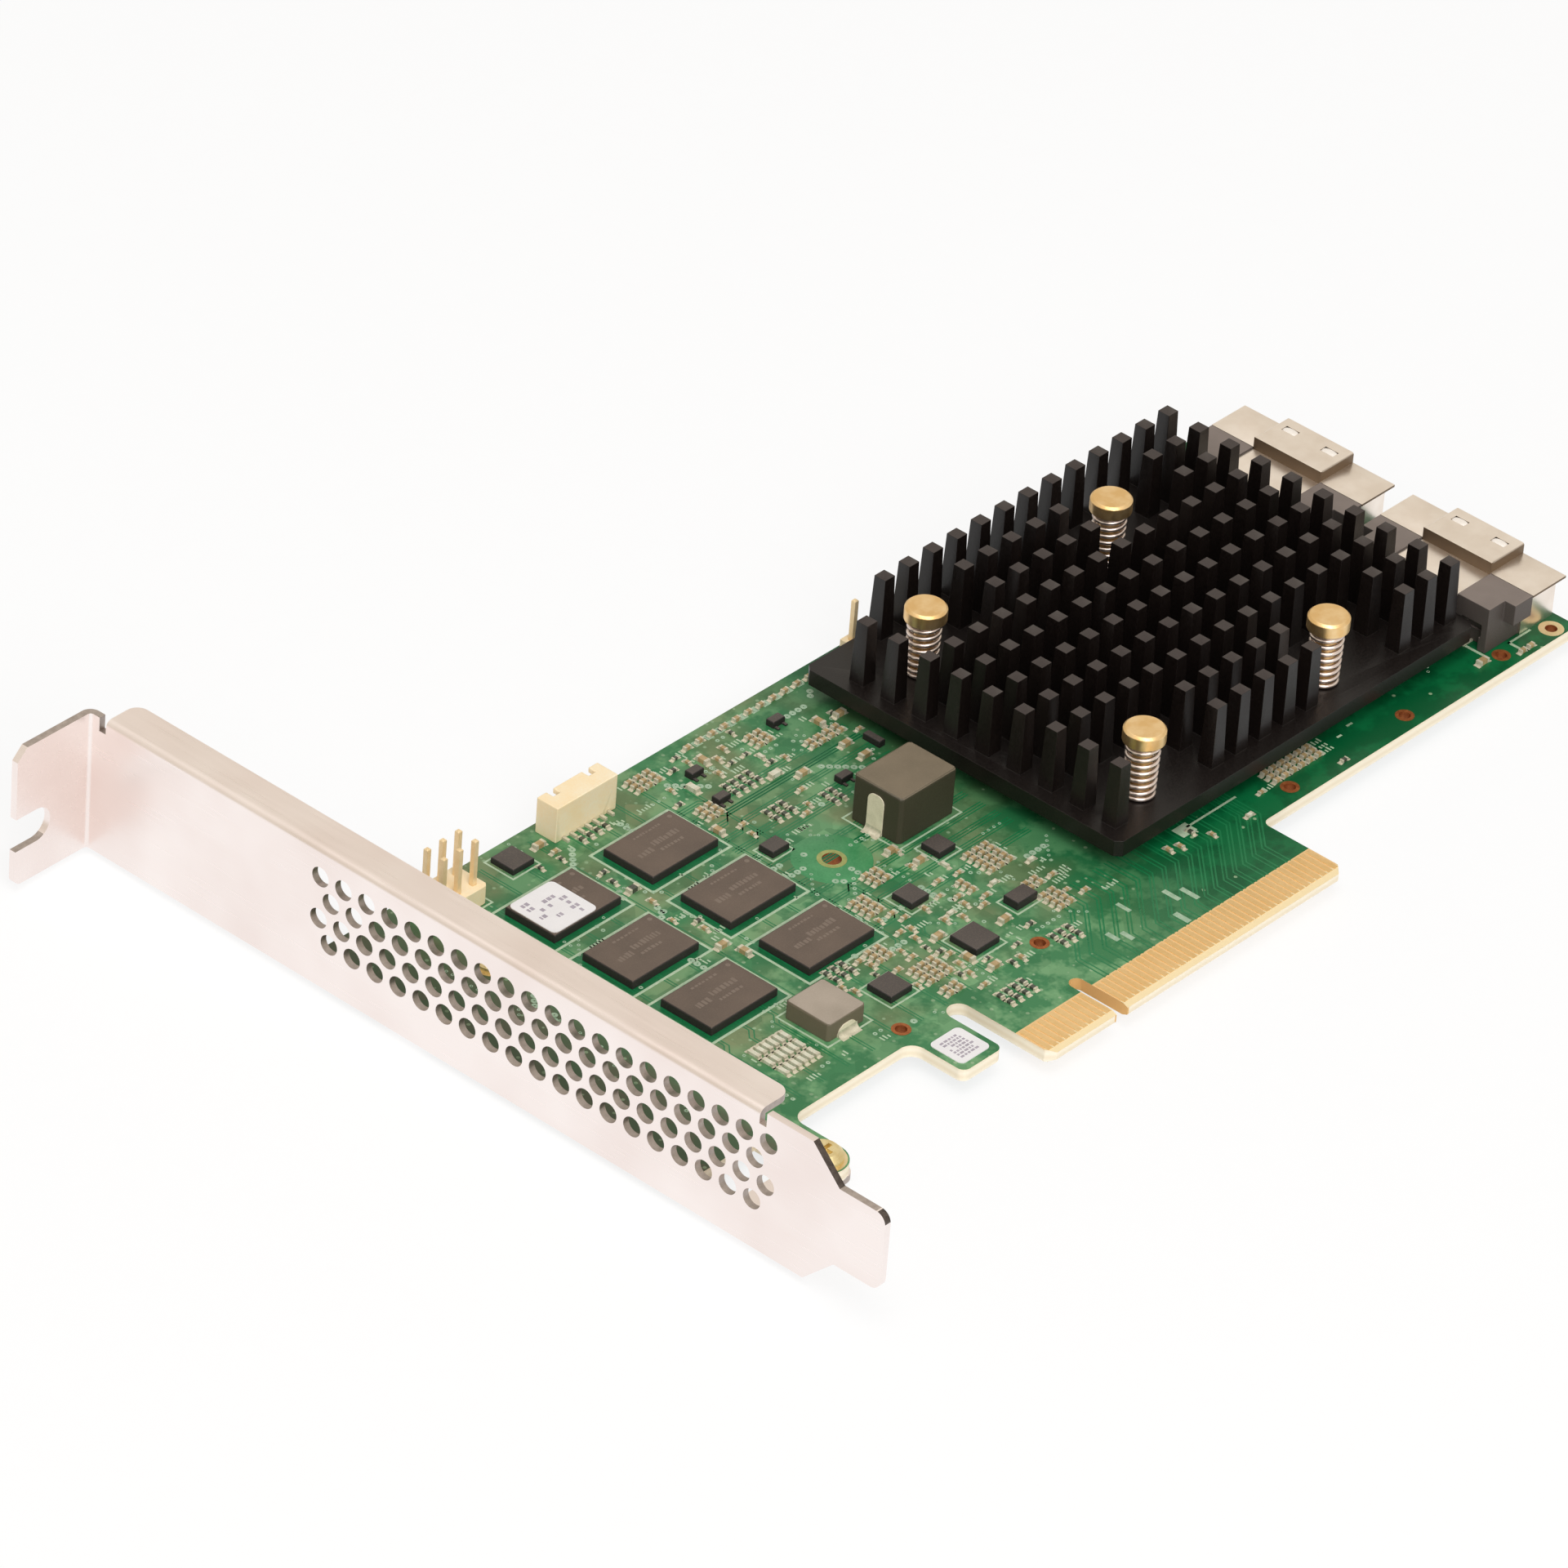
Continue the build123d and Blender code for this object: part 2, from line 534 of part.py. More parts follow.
# ---------------------------------------------------------------- cable sockets
def socket_housing(y):
    """Moulded body: shoulders behind the shell, and a mouth round the contact nose."""
    half = SOCKET_FOOT / 2 - SHELL_SHEET
    wing = SOCKET_WIDTH / 2
    under = SOCKET_HEIGHT - SHELL_SHEET
    hood = under - SHELL_SHEET
    middle = MOUTH_FLOOR + MOUTH_HEIGHT / 2
    body = block(SOCKET_BACK, SOCKET_FRONT, y - half, y + half, 0, under)
    body += block(SOCKET_BACK, SHELL_BACK, y - half, y + half, SHOULDER_FLOOR, SOCKET_HEIGHT)
    body += block(SHELL_BACK - WING_LENGTH, SHELL_BACK, y - wing, y + wing, SHOULDER_FLOOR,
                  SOCKET_HEIGHT)
    body -= block(SOCKET_BACK - 1, SHELL_BACK + SHELL_SHEET, y - HUMP_WIDTH / 2,
                  y + HUMP_WIDTH / 2, hood, SOCKET_HEIGHT + 1)
    body -= block(SOCKET_BACK - 1, SOCKET_BACK + LEDGE_DEPTH, y - half + LEDGE_DEPTH,
                  y + half - LEDGE_DEPTH, -1, SHOULDER_FLOOR)
    body -= block(SOCKET_FRONT - MOUTH_DEPTH, SOCKET_FRONT + 1, y - MOUTH_WIDTH / 2,
                  y + MOUTH_WIDTH / 2, MOUTH_FLOOR, MOUTH_FLOOR + MOUTH_HEIGHT)
    nose = block(SOCKET_FRONT - MOUTH_DEPTH - NOSE_ROOT, SOCKET_FRONT - NOSE_SETBACK,
                 y - NOSE_WIDTH / 2, y + NOSE_WIDTH / 2, middle - NOSE_HEIGHT / 2,
                 middle + NOSE_HEIGHT / 2)
    body += nose
    front = SOCKET_FRONT - NOSE_SETBACK
    body -= block(front - CARD_SLOT_DEPTH, front + 1, y - CARD_SLOT_WIDTH / 2,
                  y + CARD_SLOT_WIDTH / 2, middle - CARD_SLOT / 2, middle + CARD_SLOT / 2)
    for side in (-1, 1):
        spot = y + side * (HUMP_WIDTH / 2 + half) / 2
        body -= package(SOCKET_BACK, spot, 2 * POCKET_DEPTH, POCKET, POCKET_HEIGHT, POCKET_HEIGHT)
    return body


def shell_profile():
    """Half section of the shell's sheet, from the middle of the hump to a foot."""
    foot = SOCKET_FOOT / 2
    wing = SOCKET_WIDTH / 2
    half = HUMP_WIDTH / 2
    top = SOCKET_HEIGHT
    high = top + HUMP_RISE
    under = top - SHELL_SHEET
    sheet = rect(0, half, high - SHELL_SHEET, high)
    sheet += rect(half - SHELL_SHEET, half, under, high)
    sheet += rect(half - SHELL_SHEET, wing, under, top)
    sheet += rect(foot - SHELL_SHEET, foot, 0, top)
    return fillet(near(sheet, half, high), SHELL_SHEET)


def socket_shell(y):
    """Folded cage over the housing, with a raised middle that latches the plug."""
    half = HUMP_WIDTH / 2
    hood = SOCKET_HEIGHT - 2 * SHELL_SHEET
    profile = shell_profile()
    profile += mirror(profile, Plane.YZ)
    shell = Pos(SHELL_BACK, y, 0) * extrude(Plane.YZ * profile, amount=SHELL_LENGTH)
    shell += block(SOCKET_BACK, SHELL_BACK + SHELL_SHEET, y - half, y + half,
                   hood, hood + SHELL_SHEET)
    shell += block(SHELL_BACK, SHELL_BACK + SHELL_SHEET, y - half, y + half,
                   hood, SOCKET_HEIGHT + HUMP_RISE)
    for side in (-1, 1):
        shell -= package(SOCKET_FRONT - WINDOW_SETBACK, y + side * WINDOW_SPACING / 2,
                         WINDOW_LENGTH, WINDOW_WIDTH, HUMP_RISE, SOCKET_HEIGHT + HUMP_RISE / 2)
    return shell


def socket_tails(y):
    """Solder tails of the contacts behind the housing."""
    spots = [y + (i - (SOCKET_TAILS - 1) / 2) * TAIL_PITCH for i in range(SOCKET_TAILS)]
    return [block(SOCKET_BACK - TAIL_LENGTH, SOCKET_BACK + LEDGE_DEPTH, spot - TAIL_WIDTH / 2,
                  spot + TAIL_WIDTH / 2, 0, TAIL_THICK) for spot in spots]


# ---------------------------------------------------------------- inductors and small chips
def end_legs(x, y, length, width, rise, turn=0):
    """Flat terminals with round tops, one standing against each end of a body."""
    legs = []
    for side in (-1, 1):
        leg = package(side * (length + LEG_SHEET) / 2, 0, LEG_SHEET, width, rise)
        leg = fillet(leg.edges().filter_by(Axis.X).group_by(Axis.Z)[-1], width * LEG_ROUND)
        legs.append(Pos(x, y, 0) * Rot(0, 0, turn) * leg)
    return legs


def inductor_body(x, y, length, width, height, edge):
    body = package(x, y, length, width, height)
    body = chamfer(body.edges().filter_by(Axis.Z), edge)
    return chamfer(body.edges().group_by(Axis.Z)[-1], edge / 2)


def small_chip(x, y, length, width, height):
    chip = package(x, y, length, width, height)
    return chamfer(chip.edges().group_by(Axis.Z)[-1], SMALL_CHIP_EDGE)


def transistor(x, y):
    """Three-legged part: two legs to the slot edge and one to the top edge."""
    length, width, thick = TRANSISTOR_LEG
    reach = (TRANSISTOR[1] + width) / 2
    spots = ((-TRANSISTOR_SPREAD / 2, -reach), (TRANSISTOR_SPREAD / 2, -reach), (0, reach))
    body = small_chip(x, y, *TRANSISTOR)
    for across, along in spots:
        body += package(x + across, y + along, length, width, thick)
    return body


# ---------------------------------------------------------------- connectors and pins
def header_spots():
    first_x = HEADER_RIGHT - HEADER_PITCH / 2
    first_y = HEADER_LOW + HEADER_PITCH / 2
    return [(first_x - i * HEADER_PITCH, first_y + j * HEADER_PITCH)
            for i in range(HEADER_COLUMNS) for j in range(HEADER_ROWS)]


def backup_contact(i):
    """Bent contact: a foot on the board, a riser in the back wall, a pin towards the mouth."""
    x = (BACKUP_LEFT + BACKUP_RIGHT) / 2 + (i - (BACKUP_PINS - 1) / 2) * BACKUP_PITCH
    riser = BACKUP_BACK + (BACKUP_BACK_WALL - BACKUP_PIN) / 2
    tip = BACKUP_BACK + BACKUP_DEPTH - BACKUP_TIP
    low = BACKUP_PIN_HEIGHT - BACKUP_PIN / 2
    high = low + BACKUP_PIN
    side = Polyline((BACKUP_BACK - BACKUP_FOOT, 0), (BACKUP_BACK - BACKUP_FOOT, BACKUP_PIN),
                    (riser, BACKUP_PIN), (riser, high), (tip, high), (tip, low),
                    (riser + BACKUP_PIN, low), (riser + BACKUP_PIN, 0), close=True)
    return Pos(x - BACKUP_PIN / 2, 0, 0) * extrude(Plane.YZ * make_face(side), amount=BACKUP_PIN)


def square_pin(x, y, size, low, top):
    pin = package(x, y, size, size, top - low, low)
    return chamfer(pin.edges().group_by(Axis.Z)[-1], size / 4)


def header_base():
    base = block(HEADER_RIGHT - HEADER_COLUMNS * HEADER_PITCH, HEADER_RIGHT, HEADER_LOW,
                 HEADER_LOW + HEADER_ROWS * HEADER_PITCH, 0, HEADER_BASE)
    base = chamfer(base.edges().filter_by(Axis.Z), HEADER_PITCH / 6)
    for x, y in header_spots():
        base -= package(x, y, HEADER_PIN, HEADER_PIN, HEADER_BASE + 2, -1)
    return base


def backup_housing():
    """Flat-roofed wafer whose mouth faces the top edge, with two keyways in its roof."""
    mouth = BACKUP_BACK + BACKUP_DEPTH
    roof = BACKUP_HEIGHT - BACKUP_WALL
    body = block(BACKUP_LEFT, BACKUP_RIGHT, BACKUP_BACK, mouth, 0, BACKUP_HEIGHT)
    body -= block(BACKUP_LEFT + BACKUP_WALL, BACKUP_RIGHT - BACKUP_WALL,
                  BACKUP_BACK + BACKUP_BACK_WALL, mouth + 1, BACKUP_WALL, roof)
    for x in (BACKUP_LEFT + 3 * BACKUP_WALL, BACKUP_RIGHT - 3 * BACKUP_WALL):
        body -= package(x, mouth, BACKUP_SLOT, 2 * BACKUP_SLOT, 2 * BACKUP_WALL, roof - TOUCH)
    for i in range(BACKUP_PINS):
        body -= backup_contact(i)
    return body


def test_pin_base():
    x, y = TEST_PIN
    base = package(x, y, TEST_BASE, TEST_BASE, TEST_BASE)
    return base - package(x, y, HEADER_PIN, HEADER_PIN, TEST_BASE + 2, -1)


# ---------------------------------------------------------------- chip capacitors and resistors
def bank(x, y, columns, rows, step_x, step_y, size):
    return [package(x + i * step_x, y + j * step_y, *size)
            for i in range(columns) for j in range(rows)]


def chip_capacitors():
    size = (CAP_LENGTH, CAP_WIDTH, CAP_HEIGHT)
    caps = []
    for x, y, columns, rows in CAPACITOR_BANKS:
        caps += bank(x, y, columns, rows, CAP_STEP_X, CAP_STEP_Y, size)
    x, y, count, step = EDGE_RUN
    return caps + bank(x, y, count, 1, step, 0, size)


def chip_resistors():
    size = (RES_LENGTH, RES_WIDTH, RES_HEIGHT)
    chips = []
    for x, y, columns, rows in RESISTOR_BANKS:
        chips += bank(x, y, columns, rows, RES_STEP_X, RES_STEP_Y, size)
    return chips


def resistor_arrays():
    return bank(*ARRAY_FIRST, 2, ARRAY_ROWS, ARRAY_STEP_X, ARRAY_STEP_Y,
                (ARRAY_LENGTH, ARRAY_WIDTH, ARRAY_HEIGHT))


# ---------------------------------------------------------------- parts list
def build():
    parts = {"circuit_board": circuit_board(),
             "edge_contacts_front": edge_contacts(0, PAD_THICK),
             "edge_contacts_back": edge_contacts(BACK - PAD_THICK, BACK),
             "bracket": bracket(), "heatsink": heatsink(),
             "controller_substrate": package(CHIP_X, CHIP_Y, SUBSTRATE, SUBSTRATE, SUBSTRATE_THICK),
             "controller_lid": controller_lid(),
             "thermal_pad": package(CHIP_X, CHIP_Y, PASTE_WIDTH, PASTE_WIDTH, PASTE_THICK,
                                    SUBSTRATE_THICK + LID_THICK)}
    for name, spot in zip(("lower", "upper"), FIX_SPOTS):
        parts[f"bracket_screw_{name}"] = bracket_screw(*spot)
    for i, spot in enumerate(PIN_SPOTS, 1):
        parts[f"push_pin_{i}"] = push_pin(*spot)
        parts[f"pin_spring_{i}"] = pin_spring(*spot)
    spots = [(x, y) for x in MEMORY_X for y in MEMORY_Y]
    for i, spot in enumerate(spots, 1):
        parts[f"memory_chip_{i}"] = memory_chip(*spot)
    for i, y in enumerate(SOCKET_Y, 1):
        parts[f"socket_{i}_housing"] = socket_housing(y)
        parts[f"socket_{i}_shell"] = socket_shell(y)
        parts[f"socket_{i}_tails"] = socket_tails(y)
    parts["memory_label"] = memory_label()
    parts["board_label"] = board_label()
    parts["choke_body"] = inductor_body(*CHOKE, CHOKE_CHAMFER)
    parts["choke_legs"] = end_legs(*CHOKE[:3], CHOKE_LEG, CHOKE_LEG_RISE)
    parts["coil_body"] = inductor_body(*COIL, COIL_CHAMFER)
    parts["coil_legs"] = end_legs(*COIL[:2], COIL[3], COIL_LEG, COIL_LEG_RISE, turn=90)
    for name, chip in SMALL_CHIPS.items():
        parts[name] = small_chip(*chip)
    parts["transistors"] = [transistor(*spot) for spot in TRANSISTORS]
    parts["backup_connector_housing"] = backup_housing()
    parts["backup_connector_pins"] = [backup_contact(i) for i in range(BACKUP_PINS)]
    parts["service_header_base"] = header_base()
    parts["service_header_pins"] = [square_pin(*spot, HEADER_PIN, PIN_END, HEADER_PIN_TOP)
                                    for spot in header_spots()]
    parts["test_pin_base"] = test_pin_base()
    parts["test_pin"] = square_pin(*TEST_PIN, HEADER_PIN, PIN_END, TEST_PIN_TOP)
    parts["chip_capacitors"] = chip_capacitors()
    parts["chip_resistors"] = chip_resistors()
    parts["resistor_arrays"] = resistor_arrays()
    return parts


def main():
    os.makedirs("parts", exist_ok=True)
    for name, shape in build().items():
        if isinstance(shape, list):
            shape = Compound(children=shape)
        export_step(shape, f"parts/{name}.step")


main()
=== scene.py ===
import bmesh
import bpy
import math
import random
from mathutils import Euler, Matrix, Vector


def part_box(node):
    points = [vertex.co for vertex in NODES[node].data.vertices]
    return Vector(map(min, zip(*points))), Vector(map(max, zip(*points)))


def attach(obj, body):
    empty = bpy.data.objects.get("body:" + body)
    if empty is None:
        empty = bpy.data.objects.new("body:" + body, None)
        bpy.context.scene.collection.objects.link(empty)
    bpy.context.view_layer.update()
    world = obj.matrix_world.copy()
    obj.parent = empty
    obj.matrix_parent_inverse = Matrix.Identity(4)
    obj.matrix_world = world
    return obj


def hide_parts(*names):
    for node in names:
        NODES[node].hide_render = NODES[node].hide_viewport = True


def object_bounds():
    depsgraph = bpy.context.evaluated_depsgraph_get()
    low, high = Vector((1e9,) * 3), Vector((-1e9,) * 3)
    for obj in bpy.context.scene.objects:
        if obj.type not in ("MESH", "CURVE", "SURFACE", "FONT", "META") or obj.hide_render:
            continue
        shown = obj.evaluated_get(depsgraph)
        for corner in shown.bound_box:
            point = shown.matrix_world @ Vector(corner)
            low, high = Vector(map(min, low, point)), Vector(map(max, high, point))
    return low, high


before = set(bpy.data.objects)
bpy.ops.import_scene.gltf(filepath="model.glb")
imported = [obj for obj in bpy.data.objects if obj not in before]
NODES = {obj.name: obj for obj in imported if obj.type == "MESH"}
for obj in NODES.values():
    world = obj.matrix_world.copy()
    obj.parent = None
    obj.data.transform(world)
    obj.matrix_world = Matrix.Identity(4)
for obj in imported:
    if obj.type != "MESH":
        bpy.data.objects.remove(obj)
CAD_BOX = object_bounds()
MM = 0.001  # one millimetre in metres
WELD = 0.002 * MM  # points nearer than this are one
INK = 0.02 * MM  # how far silkscreen ink stands off the board
PAD = 0.03 * MM  # how far pads and tented vias stand off it
MARK = 0.004 * MM  # how far laser marks and label print stand out
CHANCE = random.Random(11)
MEMORY = [f"memory_chip_{i}" for i in range(1, 7)]


# ------------------------------------------------------------------ materials
def linear(colour):
    """An sRGB hex colour as linear red, green, blue, alpha."""
    parts = [int(colour[i:i + 2], 16) / 255 for i in (1, 3, 5)]
    parts = [c / 12.92 if c <= 0.04045 else ((c + 0.055) / 1.055) ** 2.4 for c in parts]
    return (*parts, 1.0)


def add(tree, kind, inputs=None, **settings):
    """Adds a shader node: settings are its options, inputs its values, hex colours and links.
    A node given as an input stands for its first output in use."""
    node = tree.nodes.new("ShaderNode" + kind)
    for name, value in settings.items():
        setattr(node, name, value)
    for name, value in (inputs or {}).items():
        if isinstance(value, bpy.types.Node):
            value = next(output for output in value.outputs if output.enabled)
        if isinstance(value, bpy.types.NodeSocket):
            tree.links.new(value, node.inputs[name])
        else:
            node.inputs[name].default_value = linear(value) if isinstance(value, str) else value
    return node


def blank(name):
    """A material with an empty tree, and places on the object."""
    material = bpy.data.materials.new(name)
    material.use_nodes = True
    tree = material.node_tree
    tree.nodes.clear()
    return material, tree, add(tree, "TexCoord").outputs["Object"]


def facing_up(tree):
    """How far the surface faces out of the component side, from -1 to 1."""
    normal = add(tree, "NewGeometry").outputs["Normal"]
    return add(tree, "SeparateXYZ", {"Vector": normal}).outputs[2]


def surface(material, height, strength, depth, inputs):
    """Ends a material with its shader, which takes the inputs and a relief of a depth in mm."""
    tree = material.node_tree
    bump = add(tree, "Bump", {"Strength": strength, "Distance": depth * MM, "Height": height})
    shader = add(tree, "BsdfPrincipled", {**inputs, "Normal": bump})
    add(tree, "OutputMaterial", {"Surface": shader})
    return material


def patches(tree, place, size, detail):
    """Soft patches of a size in millimetres, as a share from 0 to 1."""
    noise = add(tree, "TexNoise", {"Vector": place, "Scale": 1 / (size * MM), "Detail": detail})
    return add(tree, "MapRange", {"Value": noise, "From Min": 0.35,
                                  "From Max": 0.65})


def made_of(name, low, high, cloud, grain, rough, metal, relief):
    """A finish of two close colours: clouds and grain in millimetres, relief in millimetres."""
    material, tree, place = blank(name)
    grains = add(tree, "TexNoise", {"Vector": place, "Scale": 1 / (grain * MM), "Detail": 2.0})
    share = patches(tree, place, cloud, 3.0)
    speck = add(tree, "MapRange", {"Value": grains, "From Min": 0.3, "From Max": 0.7})
    mixed = add(tree, "Mix", {0: 0.45, 2: share, 3: speck})
    colour = add(tree, "Mix", {0: mixed, 6: low, 7: high}, data_type="RGBA")
    gloss = add(tree, "MapRange", {"Value": mixed, "To Min": rough[0], "To Max": rough[1]})
    return surface(material, grains, 0.6, relief, {
        "Base Color": colour, "Roughness": gloss, "Metallic": metal})


def solder_mask_laminate():
    """Woven glass laminate under green mask: copper and tented vias show through as paler green,
    and the routed edges are bare, straw-coloured and layered."""
    material, tree, place = blank("solder_mask_laminate")
    spot = add(tree, "SeparateXYZ", {"Vector": place})
    x, y = spot.outputs[0], spot.outputs[1]
    upward = facing_up(tree)
    flat = add(tree, "Math", {0: upward}, operation="ABSOLUTE")
    flat = add(tree, "Math", {0: flat, 1: 0.5}, operation="GREATER_THAN")
    pours = add(tree, "TexNoise", {"Vector": place, "Scale": 1 / (6 * MM), "Detail": 4.0,
                                   "Roughness": 0.65})
    pours = add(tree, "MapRange", {"Value": pours, "From Min": 0.45, "From Max": 0.55})
    calm = add(tree, "Mix", {0: pours, 6: "#04532d", 7: "#0a6639"}, data_type="RGBA")
    # on the component side the half by the bracket is crowded with routing, so its copper
    # shows as a paler haze, with olive drifts between the chips
    haze = add(tree, "Mix", {0: pours, 6: "#3d7e50", 7: "#74a474"}, data_type="RGBA")
    drift = add(tree, "TexNoise", {"Vector": place, "Scale": 1 / (8 * MM), "Detail": 1.0})
    drift = add(tree, "MapRange", {"Value": drift, "From Min": 0.44, "From Max": 0.66,
                                   "To Max": 0.7})
    inland = add(tree, "MapRange", {"Value": y, "From Min": 14 * MM, "From Max": 17 * MM})
    olive = add(tree, "Math", {0: drift, 1: inland}, operation="MULTIPLY")
    haze = add(tree, "Mix", {0: olive, 6: haze, 7: "#84825e"}, data_type="RGBA")
    # the ground area beside the bracket carries no routing and stays dull and dark
    beside = add(tree, "MapRange", {"Value": x, "From Min": -44 * MM, "From Max": -47 * MM})
    haze = add(tree, "Mix", {0: beside, 6: haze, 7: "#596048"},
               data_type="RGBA")
    busy = add(tree, "MapRange", {"Value": x, "From Min": 26 * MM, "From Max": 8 * MM})
    busy = add(tree, "Math", {0: busy, 1: upward}, operation="MULTIPLY", use_clamp=True)
    ground = add(tree, "Mix", {0: busy, 6: calm, 7: haze}, data_type="RGBA")
    # tented vias: pale dots about 0.4 mm across, thick where the routing is
    cells = add(tree, "TexVoronoi", {"Vector": place, "Scale": 1 / (1.15 * MM)})
    dot = add(tree, "MapRange", {"Value": cells.outputs["Distance"], "From Min": 0.24,
                                 "From Max": 0.16})
    lot = add(tree, "SeparateXYZ", {"Vector": cells.outputs["Color"]})
    kept = add(tree, "MapRange", {"Value": busy, "To Min": 0.93, "To Max": 0.55})
    lot = add(tree, "Math", {0: lot, 1: kept}, operation="GREATER_THAN")
    dot = add(tree, "Math", {0: dot, 1: lot}, operation="MULTIPLY")
    faint = add(tree, "Math", {0: dot, 1: 0.75}, operation="MULTIPLY")
    ground = add(tree, "Mix", {0: faint, 6: ground, 7: "#a3bd97"}, data_type="RGBA")
    # copper areas under the mask, cut on the square and the diagonal
    areas = add(tree, "TexVoronoi", {"Vector": place, "Scale": 1 / (3.4 * MM)},
                distance="MANHATTAN").outputs["Color"]
    tone = add(tree, "SeparateXYZ", {"Vector": areas}).outputs[1]
    weight = add(tree, "MapRange", {"Value": busy, "To Min": 0.12, "To Max": 0.5})
    tone = add(tree, "Math", {0: tone, 1: weight}, operation="MULTIPLY")
    ground = add(tree, "Mix", {0: tone, 6: ground, 7: "#1f6239"}, data_type="RGBA")
    # no mask on the slot tongue, so bare laminate shows between the contacts and at the nose
    bare = add(tree, "Math", {0: y, 1: 5.3 * MM}, operation="LESS_THAN")
    tongue = add(tree, "Math", {0: x, 1: -13 * MM}, operation="GREATER_THAN")
    bare = add(tree, "Math", {0: bare, 1: tongue}, operation="MULTIPLY")
    nose = add(tree, "MapRange", {"Value": y, "From Min": 1.3 * MM, "From Max": 1.0 * MM})
    resin = add(tree, "Mix", {0: nose, 6: "#ecc48a", 7: "#eed9ac"}, data_type="RGBA")
    mask = add(tree, "Mix", {0: bare, 6: ground, 7: resin}, data_type="RGBA")
    layers = add(tree, "TexWave", {"Vector": place, "Scale": 1 / (3.2 * MM), "Distortion": 1.0},
                 bands_direction="Z").outputs["Fac"]
    edge = add(tree, "Mix", {0: layers, 6: "#eee3cb", 7: "#f6eedb"}, data_type="RGBA")
    # the walls of the key notch are coloured browner than the other edges
    notch = add(tree, "Math", {0: x}, operation="ABSOLUTE")
    notch = add(tree, "Math", {0: notch, 1: 1.2 * MM}, operation="LESS_THAN")
    depth = add(tree, "MapRange", {"Value": y, "From Min": 11 * MM, "From Max": 10 * MM})
    notch = add(tree, "Math", {0: notch, 1: depth}, operation="MULTIPLY")
    edge = add(tree, "Mix", {0: notch, 6: edge, 7: "#deb477"}, data_type="RGBA")
    colour = add(tree, "Mix", {0: flat, 6: edge, 7: mask}, data_type="RGBA")
    gloss = add(tree, "MapRange", {"Value": flat, "To Min": 0.75, "To Max": 0.3})
    weave = add(tree, "TexNoise", {"Vector": place, "Scale": 1 / (0.5 * MM), "Detail": 2.0})
    height = add(tree, "Math", {0: dot, 1: weave}, operation="ADD")
    return surface(material, height, 0.5, 0.015, {
        "Base Color": colour, "Roughness": gloss, "IOR": 1.45, "Specular IOR Level": 0.35})


def stamped_shell():
    """Nickel-plated bronze, stamped and folded: pale on the flats and the outer walls, and painted
    shade, dull and brown, on the drawn walls of the hump and on the cut edge of the wings."""
    material, tree, place = blank("nickel_plated_bronze")
    height = add(tree, "SeparateXYZ", {"Vector": place}).outputs[2]
    outer = add(tree, "MapRange", {"Value": height, "From Min": 5.9 * MM, "From Max": 5.6 * MM})
    top = add(tree, "MapRange", {"Value": facing_up(tree), "From Min": 0.3, "From Max": 0.9})
    pale = add(tree, "Math", {0: top, 1: outer},
               operation="MAXIMUM")
    flat = add(tree, "Mix", {0: patches(tree, place, 3, 3.0), 6: "#eee2d6", 7: "#f7ede3"},
               data_type="RGBA")
    # painted shade: faces that neither face up nor lie low on the outer walls take the dark brown
    colour = add(tree, "Mix", {0: pale, 6: "#7b6a58", 7: flat}, data_type="RGBA")
    gloss = add(tree, "MapRange", {"Value": pale, "To Min": 0.5, "To Max": 0.34})
    drawn = add(tree, "TexNoise", {"Vector": place, "Scale": 1 / (0.3 * MM), "Detail": 2.0})
    return surface(material, drawn, 0.3, 0.006, {
        "Base Color": colour, "Roughness": gloss, "Metallic": 1.0})


def moulded_body(name, top, side, speck_colour="#8b7d6d", grit=0.18):
    """A moulded or pressed body: fine matt grain, and a top paler than its sides as painted light,
    with the sides darker as painted shade."""
    material, tree, place = blank(name)
    up = add(tree, "MapRange", {"Value": facing_up(tree), "From Min": 0.7, "From Max": 0.98})
    grain = add(tree, "TexNoise", {"Vector": place, "Scale": 1 / (grit * MM), "Detail": 3.0})
    cloud = add(tree, "TexNoise", {"Vector": place, "Scale": 1 / (4 * MM), "Detail": 2.0})
    share = add(tree, "MapRange", {"Value": cloud, "From Min": 0.3, "From Max": 0.7,
                                   "To Max": 0.25})
    tops = add(tree, "Mix", {0: share, 6: top, 7: side}, data_type="RGBA")
    speck = add(tree, "MapRange", {"Value": grain, "From Min": 0.45, "From Max": 0.75,
                                   "To Max": 0.25})
    tops = add(tree, "Mix", {0: speck, 6: tops, 7: speck_colour},
               data_type="RGBA")
    # painted light and shade: faces turned up take the pale top colour, the sides the dark one
    colour = add(tree, "Mix", {0: up, 6: side, 7: tops}, data_type="RGBA")
    gloss = add(tree, "MapRange", {"Value": grain, "From Min": 0.3, "From Max": 0.7,
                                   "To Min": 0.5, "To Max": 0.65})
    return surface(material, grain, 0.5, 0.012, {
        "Base Color": colour, "Roughness": gloss})


def worked_metal(name, low, high, cloud, mark, detail, rough, strength, relief, draw=1):
    """Metal with the marks of its making, a width in millimetres, drawn out along Y if asked."""
    material, tree, place = blank(name)
    drawn = add(tree, "Mapping", {"Vector": place, "Scale": (1, draw, 1)})
    marks = add(tree, "TexNoise", {"Vector": drawn, "Scale": 1 / (mark * MM), "Detail": detail})
    colour = add(tree, "Mix", {0: patches(tree, place, cloud, 2.0), 6: low, 7: high},
                 data_type="RGBA")
    gloss = add(tree, "MapRange", {"Value": marks, "From Min": 0.3, "From Max": 0.7,
                                   "To Min": rough[0], "To Max": rough[1]})
    return surface(material, marks, strength, relief, {
        "Base Color": colour, "Roughness": gloss, "Metallic": 1.0})


